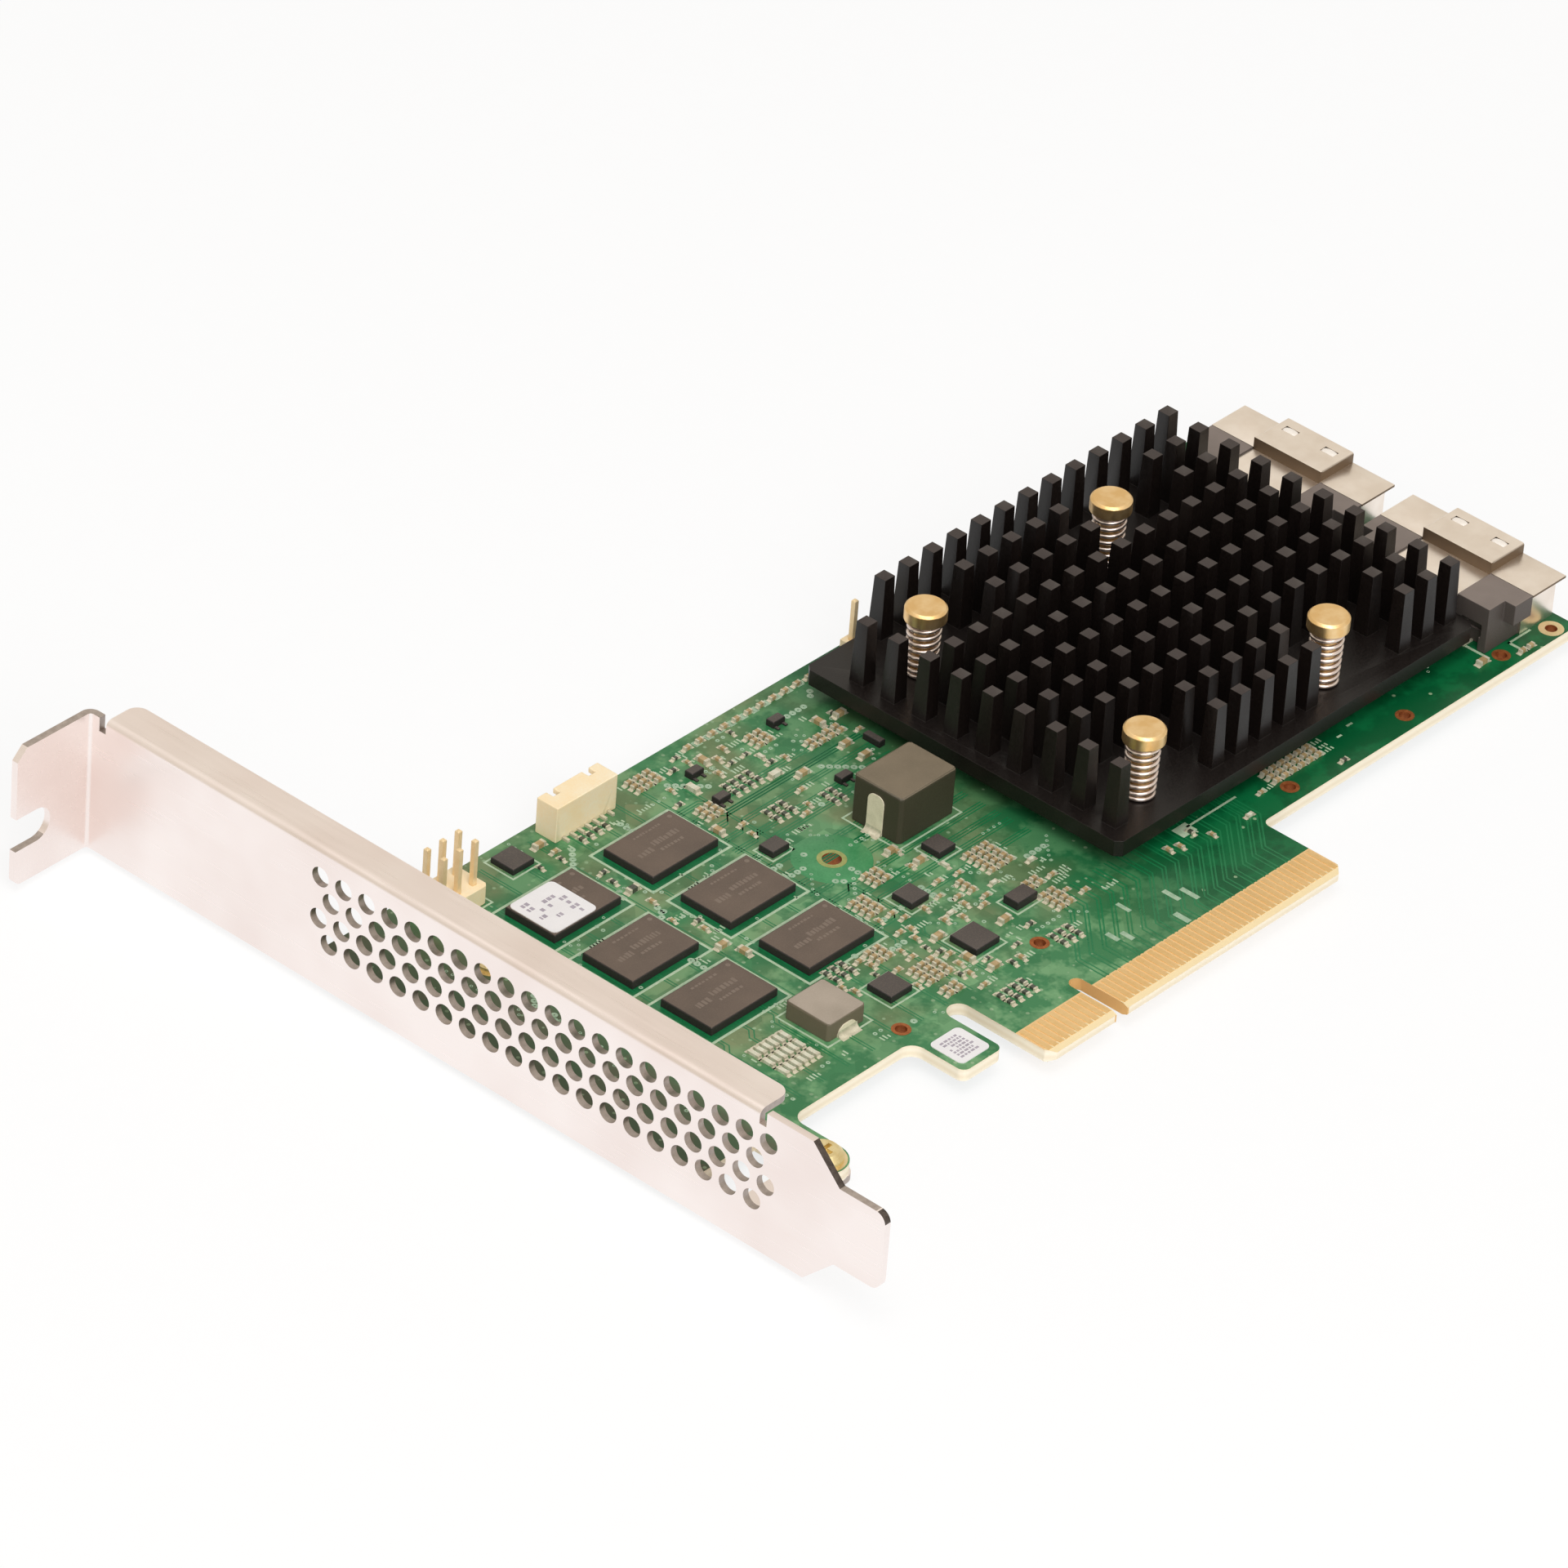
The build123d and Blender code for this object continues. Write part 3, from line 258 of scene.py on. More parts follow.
def anodised_casting():
    """Die-cast aluminium in matt black anodising: a painted highlight of grey on the flat tips,
    and the grain of the casting under the film."""
    material, tree, place = blank("black_anodised_casting")
    up = add(tree, "MapRange", {"Value": facing_up(tree), "From Min": 0.6})
    height = add(tree, "SeparateXYZ", {"Vector": place}).outputs[2]
    # painted highlight: the up-facing flat tips of the pins take a lighter grey, mottled by the
    # grain
    tip = add(tree, "MapRange", {"Value": height, "From Min": 11.9 * MM, "From Max": 12.4 * MM})
    tip = add(tree, "Math", {0: up, 1: tip}, operation="MULTIPLY")
    grain = add(tree, "TexNoise", {"Vector": place, "Scale": 1 / (0.25 * MM), "Detail": 3.0})
    tip_mottle = add(tree, "MapRange", {"Value": grain, "From Min": 0.35, "From Max": 0.65,
                                  "To Min": 0.75})
    tip = add(tree, "Math", {0: tip, 1: tip_mottle}, operation="MULTIPLY")
    share = add(tree, "MapRange", {"Value": grain, "From Min": 0.3, "From Max": 0.7})
    body = add(tree, "Mix", {0: share, 6: "#0b0706", 7: "#140e0c"}, data_type="RGBA")
    colour = add(tree, "Mix", {0: tip, 6: body, 7: "#372e2c"},
                 data_type="RGBA")
    gloss = add(tree, "MapRange", {"Value": grain, "From Min": 0.3, "From Max": 0.7,
                                   "To Min": 0.3, "To Max": 0.42})
    return surface(material, grain, 0.5, 0.02, {
        "Base Color": colour, "Roughness": gloss,
        "Specular IOR Level": 0.4})


FINISH = {
    "mask": solder_mask_laminate(),
    # hard gold over nickel: pale orange gold, faintly clouded
    "gold": made_of("hard_gold_plate", "#f3cb8b", "#fad9a2", 6, 0.4, (0.34, 0.44), 1.0, 0.004),
    # immersion gold on rings and pins: paler than the contacts
    "pale_gold": made_of("immersion_gold", "#e6cf9c", "#f3e0b8", 2, 0.2, (0.34, 0.46), 1.0, 0.004),
    # cold-rolled steel under bright nickel: warm grey, faint rolling lines along the length
    "nickel": worked_metal("nickel_plated_steel_sheet", "#f5e8e3", "#fcf2ee", 14, 0.35, 4.0,
                           (0.26, 0.4), 0.25, 0.006, 0.04),
    # sheared and punched sheet edges: bare grey steel with the fracture's dull grain, painted dark
    # as painted shade where they face up and to the front
    "sheared": made_of("sheared_edge_painted_shade", "#4a4340", "#6e655f", 0.8, 0.1, (0.4, 0.6), 1.0, 0.02),
    # vent walls: the punch burnishes them, so they are paler than the sheared outline
    "punched": made_of("punched_steel_wall", "#a59a94", "#c4b9b2", 0.8, 0.1, (0.4, 0.55), 1.0,
                       0.01),
    # yellow-passivated zinc on the bracket screws: pale straw with a matt bloom
    "zinc": made_of("yellow_zinc_steel", "#e6cf94", "#f4e6b8", 1.5, 0.15, (0.34, 0.5), 1.0, 0.008),
    "anodised": anodised_casting(),
    # free-cutting brass off the lathe: fine tool marks and a bright, warm face
    "brass": worked_metal("turned_brass", "#eac386", "#f6d6a2", 1.6, 0.12, 2.0, (0.36, 0.44), 0.2,
                          0.004),
    # gold ring half under the mask round the spacer hole: yellow green
    "olive_gold": made_of("mask_edged_gold", "#8f9a58", "#b3b574", 1, 0.15, (0.4, 0.5), 0.4, 0.004),
    # mask over the plated vias: pale green domes
    "tented": made_of("tented_via", "#86a98a", "#b4cab0", 0.8, 0.12, (0.35, 0.45), 0, 0.004),
    # gold flash on square header pins: pale cream gold, a little rough
    "pin_gold": made_of("gold_flashed_pin", "#f0d2a0", "#f8e2b8", 1, 0.15, (0.4, 0.5), 0.3, 0.003),
    # hot-tinned copper strip of the inductor terminals: bright and soft
    "dipped_tin": made_of("hot_tinned_strip", "#d9d0b4", "#efe6cc", 1.2, 0.15, (0.5, 0.62), 0.0,
                          0.01),
    # drawn spring wire: bright, slightly pink steel
    "wire": made_of("drawn_spring_wire", "#dccbc1", "#f0e2da", 1.0, 0.1, (0.28, 0.4), 1.0, 0.004),
    # moulded bodies: the top colour is painted light and the side colour painted shade
    "epoxy": moulded_body("moulded_epoxy", "#65564b", "#262120"),
    "dark_epoxy": moulded_body("dark_moulded_epoxy", "#4d4642", "#1e1a1b"),
    # laser-burnt epoxy: one shade paler than the chip's top
    "laser_mark": made_of("laser_burnt_epoxy", "#74655a", "#7d6f63", 1, 0.1, (0.5, 0.6), 0, 0.003),
    # coated label stock: soft cool white, even and slightly glossy
    "paper": made_of("coated_label_paper", "#eae8e9", "#f4f2f3", 4, 0.15, (0.4, 0.5), 0, 0.004),
    # grey-violet thermal print on the labels
    "print": made_of("thermal_print", "#a098a4", "#b9b0ba", 0.8, 0.2, (0.45, 0.55), 0, 0.002),
    # glass-filled nylon: dull dark grey, with painted light on top and painted shade on the sides
    "nylon": moulded_body("glass_filled_nylon", "#857972", "#4c4541", "#958a83", 0.2),
    "shell": stamped_shell(),
    # nickel of the latch tongues: whiter than the shell round them, as a painted highlight
    "bright_nickel": made_of("latch_nickel_painted_highlight", "#fbf3ea", "#fffaf4", 1, 0.2, (0.5, 0.6), 0.3,
                             0.003),
    # matt tin on terminals and end caps: soft grey white
    "tin": made_of("matt_tin", "#c6c0a8", "#e2dcc8", 0.9, 0.12, (0.45, 0.6), 0.35, 0.008),
    # reflowed solder: bright grey, a little frosted
    "solder": made_of("reflowed_solder", "#c3bda6", "#e6dfc9", 0.6, 0.1, (0.35, 0.5), 0.45, 0.01),
    # pressed iron powder choke: olive-grey lacquer, matt and gritty, with painted light on top and
    # painted shade on the sides
    "iron": moulded_body("pressed_iron_powder", "#7b6e5a", "#3a3627", "#8e8270", 0.22),
    # ferrite coil body: warm light grey, slightly chalky, with painted light on top and painted
    # shade on the sides
    "ferrite": moulded_body("moulded_ferrite", "#ada091", "#6b6250", "#c0b4a6", 0.2),
    # ivory nylon connectors: creamy and semi-matt
    "ivory": made_of("ivory_nylon", "#ffe6b8", "#fff1d2", 3, 0.25, (0.38, 0.5), 0, 0.008),
    # tan barium titanate of the chip capacitors
    "tan": made_of("sintered_tan_ceramic", "#9c835a", "#c2a97e", 0.8, 0.12, (0.4, 0.5), 0, 0.01),
    # glazed top of the chip resistors: dark olive glass
    "glaze": made_of("glazed_resistor_film", "#34382f", "#565a4c", 0.6, 0.1, (0.25, 0.35), 0,
                     0.004),
    # white alumina of resistor bodies and arrays
    "alumina": made_of("white_alumina", "#cfcdb6", "#e6e3cf", 0.8, 0.12, (0.4, 0.5), 0, 0.008),
    # epoxy silkscreen ink: greenish white where the mask shows through
    "ink": made_of("silkscreen_ink", "#9dbb98", "#c3d3b8", 0.9, 0.15, (0.5, 0.6), 0, 0.01),
    # copper tracks under the mask: one shade paler than the ground
    "track": made_of("masked_copper_track", "#0f6c3e", "#1d7b4a", 3, 0.3, (0.26, 0.36), 0, 0.006),
    # mask with no tracks under it, inside the chip frames: deep, even green, also darkened as
    # painted shade beside the chips
    "clear_mask": made_of("clear_solder_mask_and_shade", "#0c5c33", "#1a7042", 4, 0.4, (0.28, 0.4), 0, 0.006),
    # copper under the mask round the spacer hole: brighter green
    "masked_pad": made_of("masked_copper_pad", "#2f7f4b", "#4c9661", 3, 0.3, (0.26, 0.36), 0,
                          0.006),
    # silicone pad and laminate of the hidden chip
    "silicone": made_of("thermal_silicone", "#9a9a96", "#adada8", 2, 0.3, (0.6, 0.7), 0, 0.02),
    "substrate": made_of("chip_substrate", "#1f5c3a", "#2a6e47", 3, 0.3, (0.35, 0.45), 0, 0.006),
    # bare copper wall and rim of the tooling holes: red brown
    "copper": made_of("oxidised_copper", "#8c4a26", "#b56f3c", 0.6, 0.1, (0.4, 0.55), 0.6, 0.01),
}


# ------------------------------------------------------------------ making pieces
def put_in_scene(thing):
    """Links an object into the scene."""
    bpy.context.scene.collection.objects.link(thing)


def mesh_of(shape, name):
    """Turns a bmesh into a mesh and frees it."""
    mesh = bpy.data.meshes.new(name)
    shape.to_mesh(mesh)
    shape.free()
    return mesh


def finish_piece(piece, nodes, slot, *finishes):
    """Gives a piece its finishes, sets it on the card, and hides the CAD nodes it stands for."""
    for name in finishes:
        piece.data.materials.append(FINISH[name])
    put_in_scene(piece)
    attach(piece, "root")
    if nodes:
        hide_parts(*nodes)
    return piece


def welded(node):
    """The CAD node's own shape with its faces joined up, as a bmesh."""
    shape = bmesh.new()
    shape.from_mesh(NODES[node].data)
    bmesh.ops.remove_doubles(shape, verts=shape.verts, dist=WELD)
    bmesh.ops.dissolve_limit(shape, angle_limit=math.radians(1.5), verts=shape.verts,
                             edges=shape.edges)
    return shape


def smooth(mesh, angle=35):
    """Rounds the shading wherever faces meet at less than the angle."""
    mesh.polygons.foreach_set("use_smooth", [True] * len(mesh.polygons))
    mesh.set_sharp_from_angle(angle=math.radians(angle))


def soften(piece, width, steps=2):
    """Breaks every sharp edge with a small round."""
    edge = piece.modifiers.new("broken_edges", "BEVEL")
    edge.width = width * MM
    edge.segments = steps
    edge.limit_method = "ANGLE"
    edge.angle_limit = math.radians(40)
    edge.harden_normals = True


def settled(piece):
    """The piece's mesh with its modifiers worked in."""
    piece.data = bpy.data.meshes.new_from_object(
        piece.evaluated_get(bpy.context.evaluated_depsgraph_get()))
    piece.modifiers.clear()


def softened_copy(node, name, slot, width, *finishes, steps=2):
    """A copy of a CAD node with its edges broken, standing in its place."""
    mesh = mesh_of(welded(node), name)
    smooth(mesh)
    piece = finish_piece(bpy.data.objects.new(name, mesh), [node], slot, *finishes)
    soften(piece, width, steps)
    return piece


def groups(items, beside):
    """Sorts a set into groups of things that touch; beside gives a thing's neighbours."""
    left = set(items)
    while left:
        group = [left.pop()]
        for thing in group:
            for other in beside(thing):
                if other in left:
                    left.remove(other)
                    group.append(other)
        yield group


def lumps(node):
    """Lowest and highest corner of each separate lump in a CAD node."""
    shape = welded(node)
    found = []
    for group in groups(shape.verts, lambda v: [e.other_vert(v) for e in v.link_edges]):
        low = Vector([min(v.co[i] for v in group) for i in range(3)])
        high = Vector([max(v.co[i] for v in group) for i in range(3)])
        found.append((low, high))
    shape.free()
    return sorted(found, key=lambda pair: tuple(pair[0]))


def add_block(shape, low, high, finish=0):
    """Adds a block between two corners to a bmesh."""
    place = Matrix.Translation((low + high) / 2) @ Matrix.Diagonal((*(high - low), 1))
    made = bmesh.ops.create_cube(shape, size=1, matrix=place)
    for face in {f for v in made["verts"] for f in v.link_faces}:
        face.material_index = finish


def spin(shape, profile, x, y, steps=32, finish=0):
    """Adds a turned form: a closed or open profile of (radius, height) about an upright axis."""
    rings = []
    for i in range(steps):
        angle = 2 * math.pi * i / steps
        rings.append([shape.verts.new((x + r * math.cos(angle), y + r * math.sin(angle), z))
                      for r, z in profile])
    for i in range(steps):
        here, there = rings[i], rings[(i + 1) % steps]
        for j in range(len(profile) - 1):
            face = shape.faces.new((here[j], there[j], there[j + 1], here[j + 1]))
            face.material_index = finish


def piece_from(shape, name, nodes, slot, *finishes, angle=35):
    """Turns a bmesh into a finished piece."""
    bmesh.ops.recalc_face_normals(shape, faces=shape.faces)
    mesh = mesh_of(shape, name)
    smooth(mesh, angle)
    return finish_piece(bpy.data.objects.new(name, mesh), nodes, slot, *finishes)


def keep(node, slot, finish):
    """A CAD node whose shape is right stays, with its finish."""
    piece = NODES[node]
    piece.data.materials.clear()
    piece.data.materials.append(FINISH[finish])


# ------------------------------------------------------------------ board
def rim(shape, node, gap, width=0.35):
    """Silkscreen frame on the board round a part."""
    low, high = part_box(node)
    x0, y0 = low.x - gap * MM, low.y - gap * MM
    x1, y1 = high.x + gap * MM, high.y + gap * MM
    w = width * MM
    for a, b in (((x0, y0), (x1, y0 + w)), ((x0, y1 - w), (x1, y1)),
                 ((x0, y0 + w), (x0 + w, y1 - w)), ((x1 - w, y0 + w), (x1, y1 - w))):
        add_block(shape, Vector((*a, 0)), Vector((*b, INK)))


def silkscreen():
    """Printed frames round the parts, and short strokes beside the small ones."""
    shape = bmesh.new()
    for node in MEMORY:
        rim(shape, node, 1.2)
    for node, gap in (("choke_body", 0.7), ("coil_body", 0.7), ("regulator_chip_1", 0.6),
                      ("regulator_chip_2", 0.7), ("flash_chip", 0.7), ("clock_chip", 0.7),
                      ("corner_chip", 0.6), ("protection_diode", 0.6), ("sensor_chip", 0.5),
                      ("service_header_base", 0.5)):
        rim(shape, node, gap, 0.25)
    for x0, y0, x1, y1 in ((32, 17.4, 40.8, 17.7), (84.1, 15.6, 84.5, 18.6),
                           (88.4, 15.3, 92.6, 15.6), (88.4, 13.4, 88.8, 15.6),
                           (30.2, 16.4, 32.6, 18.3), (58.6, 16.9, 59.4, 17.2),
                           (61.2, 17.6, 62.2, 17.9)):
        add_block(shape, Vector((x0, y0, 0)) * MM, Vector((x1, y1, INK / MM)) * MM)
    for low, high in SMALL:
        if CHANCE.random() < 0.35:
            strokes(shape, high.x + 0.4 * MM, low.y, CHANCE.randint(1, 4))
    for _ in range(90):
        x = CHANCE.uniform(-38, 16) * MM
        y = CHANCE.uniform(13.5, 67) * MM
        strokes(shape, x, y, CHANCE.randint(2, 5))
    return piece_from(shape, "board_silkscreen", [], "solder_mask", "ink")


def strokes(shape, x, y, count):
    """A few upright printed strokes in a row, as plain marks beside a part."""
    for k in range(count):
        left = x + 0.5 * k * MM
        tall = CHANCE.choice((0.5, 0.8, 0.8)) * MM
        if clear_spot(left, y, 0.3) and clear_spot(left, y + tall, 0.3):
            add_block(shape, Vector((left, y, 0)), Vector((left + 0.22 * MM, y + tall, INK)))


def mask_windows():
    """Even deep-green mask inside each memory chip's frame, where no tracks run, and painted shade
    round each chip.
    """
    shape = bmesh.new()
    for node in MEMORY:
        low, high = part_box(node)
        edge = Vector((1.1 * MM, 1.1 * MM, 0))
        a, b = low - edge, high + edge
        add_block(shape, Vector((a.x, a.y, 0)), Vector((b.x, b.y, 0.008 * MM)))
    return piece_from(shape, "mask_windows", [], "solder_mask", "clear_mask")


def round_holes(node):
    """Centre and radius of each round hole through a flat CAD node."""
    shape = bmesh.new()
    shape.from_mesh(NODES[node].data)
    bmesh.ops.remove_doubles(shape, verts=shape.verts, dist=WELD)
    walls = {f for f in shape.faces if abs(f.normal.z) < 0.1}
    found = []
    for group in groups(walls, lambda f: [o for e in f.edges for o in e.link_faces]):
        points = {v.co.xy.to_tuple(6) for f in group for v in f.verts}
        x, y = (sum(p[i] for p in points) / len(points) for i in (0, 1))
        reach = [math.hypot(p[0] - x, p[1] - y) for p in points]
        if len(points) > 7 and max(reach) - min(reach) < 0.03 * MM:
            found.append((x, y, max(reach)))
    shape.free()
    return sorted(found)


def plated_holes():
    """Plated rings with browned walls at the fixing, spacer and corner holes, bare copper at the
    small tooling holes, and the masked copper disc round the spacer hole."""
    shape = bmesh.new()
    board, plating = 1.57, 0.04
    top, bottom = plating * MM, -(board + plating) * MM
    # ring width for each bore radius, in millimetres
    widths = {1.6: 1.15, 1.2: 0.55, 0.8: 0.75, 0.75: 0.4}
    for x, y, bore in round_holes("circuit_board"):
        ring = next((w for r, w in widths.items() if abs(bore / MM - r) < 0.03), None)
        if ring is None:
            continue
        finish = {0.4: 1, 0.55: 3}.get(ring, 0)
        inside, outside = bore - top, bore + ring * MM
        spin(shape, [(inside, bottom), (inside, top)], x, y, finish=1)
        spin(shape, [(inside, top), (outside, top), (outside, 0)], x, y, finish=finish)
        spin(shape, [(inside, bottom), (outside, bottom), (outside, bottom + top)], x, y,
             finish=finish)
        if ring == 0.55:
            spin(shape, [(outside, 0.02 * MM), (4.7 * MM, 0.02 * MM), (4.75 * MM, 0)], x, y,
                 steps=48, finish=2)
    return piece_from(shape, "plated_holes", [], "gold_plate", "pale_gold", "copper", "masked_pad",
                      "olive_gold")


def track(shape, points, width=0.2, height=0.012):
    """A masked copper track: a mitred ribbon along a line of points in millimetres."""
    line = [Vector(p) * MM for p in points]
    sides = []
    for i, here in enumerate(line):
        before = (here - line[i - 1]).normalized() if i else (line[1] - here).normalized()
        after = (line[i + 1] - here).normalized() if i + 1 < len(line) else before
        across = Vector((-(before + after).y, (before + after).x)).normalized()
        reach = width * MM / 2 / max(across.dot(Vector((-before.y, before.x))), 0.5)
        sides.append((here - across * reach, here + across * reach))
    rows = [[shape.verts.new((*p, z)) for p, z in ((a, 0), (a, height * MM), (b, height * MM),
                                                   (b, 0))] for a, b in sides]
    for one, two in zip(rows, rows[1:]):
        for j in range(3):
            shape.faces.new((one[j], one[j + 1], two[j + 1], two[j]))


def tracks():
    """Pairs from the slot contacts up under the heatsink, and the memory bus."""
    shape = bmesh.new()
    for i in range(17):
        x = 3.5 + 2 * i
        lean = (24.0 + i * 1.0) - x
        turn = 7.2 + 0.25 * abs(i - 9)
        for side in (-0.3, 0.3):
            run = max(min(lean, 6.5), -6.5)
            track(shape, [(x + side, 5.2), (x + side, turn),
                          (x + side + run, turn + abs(run)), (x + side + run, 19.5)])
    for row in range(14):
        y = 28.5 + row * 2.3
        bend = CHANCE.choice((-1.2, 0.8, 1.2))
        for side in (0, 0.4, 0.8):
            track(shape, [(-9.5, y + side), (-6.0 + side, y + side),
                          (-6.0 + side + abs(bend), y + side + bend),
                          (18.5, y + side + bend)], 0.16)
    for column in range(9):
        x = -38.5 + column * 4.1
        for side in (0, 0.4):
            track(shape, [(x + side, 14.0), (x + side, 25.0 - side), (x + side + 1.0, 26.0 - side),
                          (x + side + 1.0, 67.0)], 0.16)
    return piece_from(shape, "board_tracks", [], "solder_mask", "track", angle=20)


def edge_pads():
    """Tinned square pads in a row along the top edge, and a few beside the slot contacts."""
    shape = bmesh.new()
    spots = [(3.2 + 1.95 * i, 66.9, 0.55, 0.5) for i in range(10)]
    spots += [(9.6, 9.6, 0.35, 0.9), (11.0, 8.6, 0.35, 0.9), (18.2, 6.6, 0.4, 1.1),
              (20.6, 10.2, 0.35, 1.2), (22.4, 9.0, 0.35, 1.3), (14.8, 12.4, 0.3, 1.0)]
    for x, y, half_x, half_y in spots:
        add_block(shape, Vector((x - half_x, y - half_y, 0)) * MM,
                  Vector((x + half_x, y + half_y, PAD / MM)) * MM)
    return piece_from(shape, "edge_pads", [], "tinned_metal", "tented")


def clear_spot(x, y, room=0.35):
    """True where no part stands on the board."""
    return not any(low.x - room * MM < x < high.x + room * MM
                   and low.y - room * MM < y < high.y + room * MM for low, high in STANDING)


def vias_and_test_points():
    """Tinned test points and open vias, in short rows between the parts."""
    shape = bmesh.new()
    for cluster in range(170):
        x = CHANCE.uniform(-54, 92) if cluster % 4 == 0 else CHANCE.uniform(-52, 17)
        y = CHANCE.uniform(13.5, 67.5)
        along = CHANCE.choice(((1, 0), (0, 1), (0.7, 0.7), (0.7, -0.7)))
        size = CHANCE.choice((0.2, 0.2, 0.26, 0.42))
        for k in range(CHANCE.randint(1, 6)):
            px, py = (x + along[0] * k * 0.95) * MM, (y + along[1] * k * 0.95) * MM
            if clear_spot(px, py) and 12.8 * MM < py < 68.2 * MM:
                spin(shape, [(0.1 * MM, 0.005 * MM), (0.13 * MM, PAD), (size * MM, PAD),
                             (size * MM + 0.02 * MM, 0)], px, py, 10)
    return piece_from(shape, "vias_and_test_points", [], "solder_mask", "tented", angle=20)


# ------------------------------------------------------------------ bracket
def cut_edge(face, sheet=0.9):
    """True for a face cut through the sheet's thickness."""
    for axis in range(3):
        ends = [v.co[axis] for v in face.verts]
        across = abs(max(ends) - min(ends) - sheet * MM) < 0.02 * MM
        if across and abs(face.normal[axis]) < 0.1:
            return True
    band = 2 * face.calc_area() / face.calc_perimeter() / MM
    return abs(face.normal.x) < 0.5 and 0.7 * sheet < band < 1.02 * sheet


def edge_finish(face, vents):
    """0 for plated faces, 1 for cut edges facing up and to the front, painted dark as painted
    shade, 2 for punched ones.
    """
    if not cut_edge(face):
        return 0
    middle = face.calc_center_median()
    if any(math.hypot(middle.y - y, middle.z - z) < 1.4 * MM for y, z in vents):
        return 2
    # painted shade: cut edges facing up and to the front get the dark sheared finish
    if face.normal.y < -0.2 and face.normal.z > 0.2:
        return 1
    step_or_notch = -9 * MM < middle.y < 1.6 * MM
    foot_end = middle.y < -15 * MM
    return 0 if face.normal.x < -0.5 or step_or_notch or foot_end else 2


def slot_bracket():
    """The folded sheet with its vents opened out round, bare cut edges, and edges broken."""
    mesh = mesh_of(welded("bracket"), "slot_bracket")
    piece = finish_piece(bpy.data.objects.new("slot_bracket", mesh), ["bracket"],
                         "nickel_sheet", "nickel", "sheared", "punched")
    punch = bmesh.new()
    across = Euler((0, math.radians(90), 0)).to_matrix().to_4x4()
    for y, z in vent_spots():
        bmesh.ops.create_cone(punch, cap_ends=True, segments=24, radius1=1.26 * MM,
                              radius2=1.26 * MM, depth=4 * MM,
                              matrix=Matrix.Translation((-59.75 * MM, y, z)) @ across)
    cutter = bpy.data.objects.new("vent_punch", mesh_of(punch, "vent_punch"))
    put_in_scene(cutter)
    cut = piece.modifiers.new("vents", "BOOLEAN")
    cut.object = cutter
    cut.operation = "DIFFERENCE"
    cut.solver = "EXACT"
    settled(piece)
    bpy.data.objects.remove(cutter)
    shape = bmesh.new()
    shape.from_mesh(piece.data)
    vents = list(vent_spots())
    for face in shape.faces:
        face.material_index = edge_finish(face, vents)
    shape.to_mesh(piece.data)
    shape.free()
    smooth(piece.data)
    soften(piece, 0.1)
    return piece


def vent_spots():
    """Middle of each vent, from the punched pattern of four staggered rows."""
    for row in range(4):
        late = (row + 1) % 2
        for i in range(20 - late):
            yield (0.5 + 1.75 * late + 3.5 * i) * MM, (3.8 + 2.8 * row) * MM


# ------------------------------------------------------------------ heatsink
def heatsink_and_pins():
    """The casting, and the four push pins with their springs."""
    softened_copy("heatsink", "heatsink_casting", "black_anodised", 0.12, "anodised")
    for i in range(1, 5):
        softened_copy(f"push_pin_{i}", f"push_pin_{i}_turned", "push_pin_brass", 0.12, "brass",
                      steps=3)
        coil_spring(i)


def coil_spring(i, turns=9, wire=0.55):
    """Round-wire compression spring, closed at both ends and a little narrower at the foot."""
    low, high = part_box(f"pin_spring_{i}")
    pin_low, pin_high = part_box(f"push_pin_{i}")
    x, y = (pin_low.x + pin_high.x) / 2, (pin_low.y + pin_high.y) / 2
    bottom, top = low.z + wire * MM / 2, high.z - wire * MM / 2
    curve = bpy.data.curves.new(f"pin_spring_{i}_coil", "CURVE")
    curve.dimensions = "3D"
    curve.bevel_depth = wire * MM / 2
    curve.bevel_resolution = 4
    line = curve.splines.new("POLY")
    per_turn = 28
    count = turns * per_turn + 1
    line.points.add(count - 1)
    for k in range(count):
        share = k / (count - 1)
        rise = min(max((share - 0.09) / 0.82, 0.0), 1.0)
        angle = 2 * math.pi * k / per_turn
        radius = (1.72 + 0.14 * rise) * MM
        line.points[k].co = (x + radius * math.cos(angle), y + radius * math.sin(angle),
                             bottom + (top - bottom) * rise, 1)
    curve.use_fill_caps = True
    maker = bpy.data.objects.new(curve.name, curve)
    put_in_scene(maker)
    mesh = bpy.data.meshes.new_from_object(
        maker.evaluated_get(bpy.context.evaluated_depsgraph_get()))
    bpy.data.objects.remove(maker)
    smooth(mesh, 60)
    return finish_piece(bpy.data.objects.new(f"pin_spring_{i}_coil", mesh),
                        [f"pin_spring_{i}"], "spring_steel", "wire")


# ------------------------------------------------------------------ chips
def packages():
    """Chip bodies, inductors and what is marked or soldered on them."""
    for node in MEMORY:
        softened_copy(node, f"{node}_moulding", "chip_mould", 0.06, "epoxy")
    for name in ("regulator_chip_1", "regulator_chip_2", "flash_chip", "clock_chip",
                 "corner_chip", "load_switch_chip", "sensor_chip", "protection_diode",
                 "transistors"):
        softened_copy(name, f"{name}_moulding", "chip_mould", 0.05, "dark_epoxy")
    softened_copy("choke_body", "choke_pressing", "choke_core", 0.15, "iron", steps=3)
    softened_copy("coil_body", "coil_pressing", "coil_core", 0.15, "ferrite", steps=3)
    for node in ("choke_legs", "coil_legs"):
        softened_copy(node, f"{node}_strip", "tinned_metal", 0.03, "dipped_tin")
    solder_fillets()
    chip_marks()


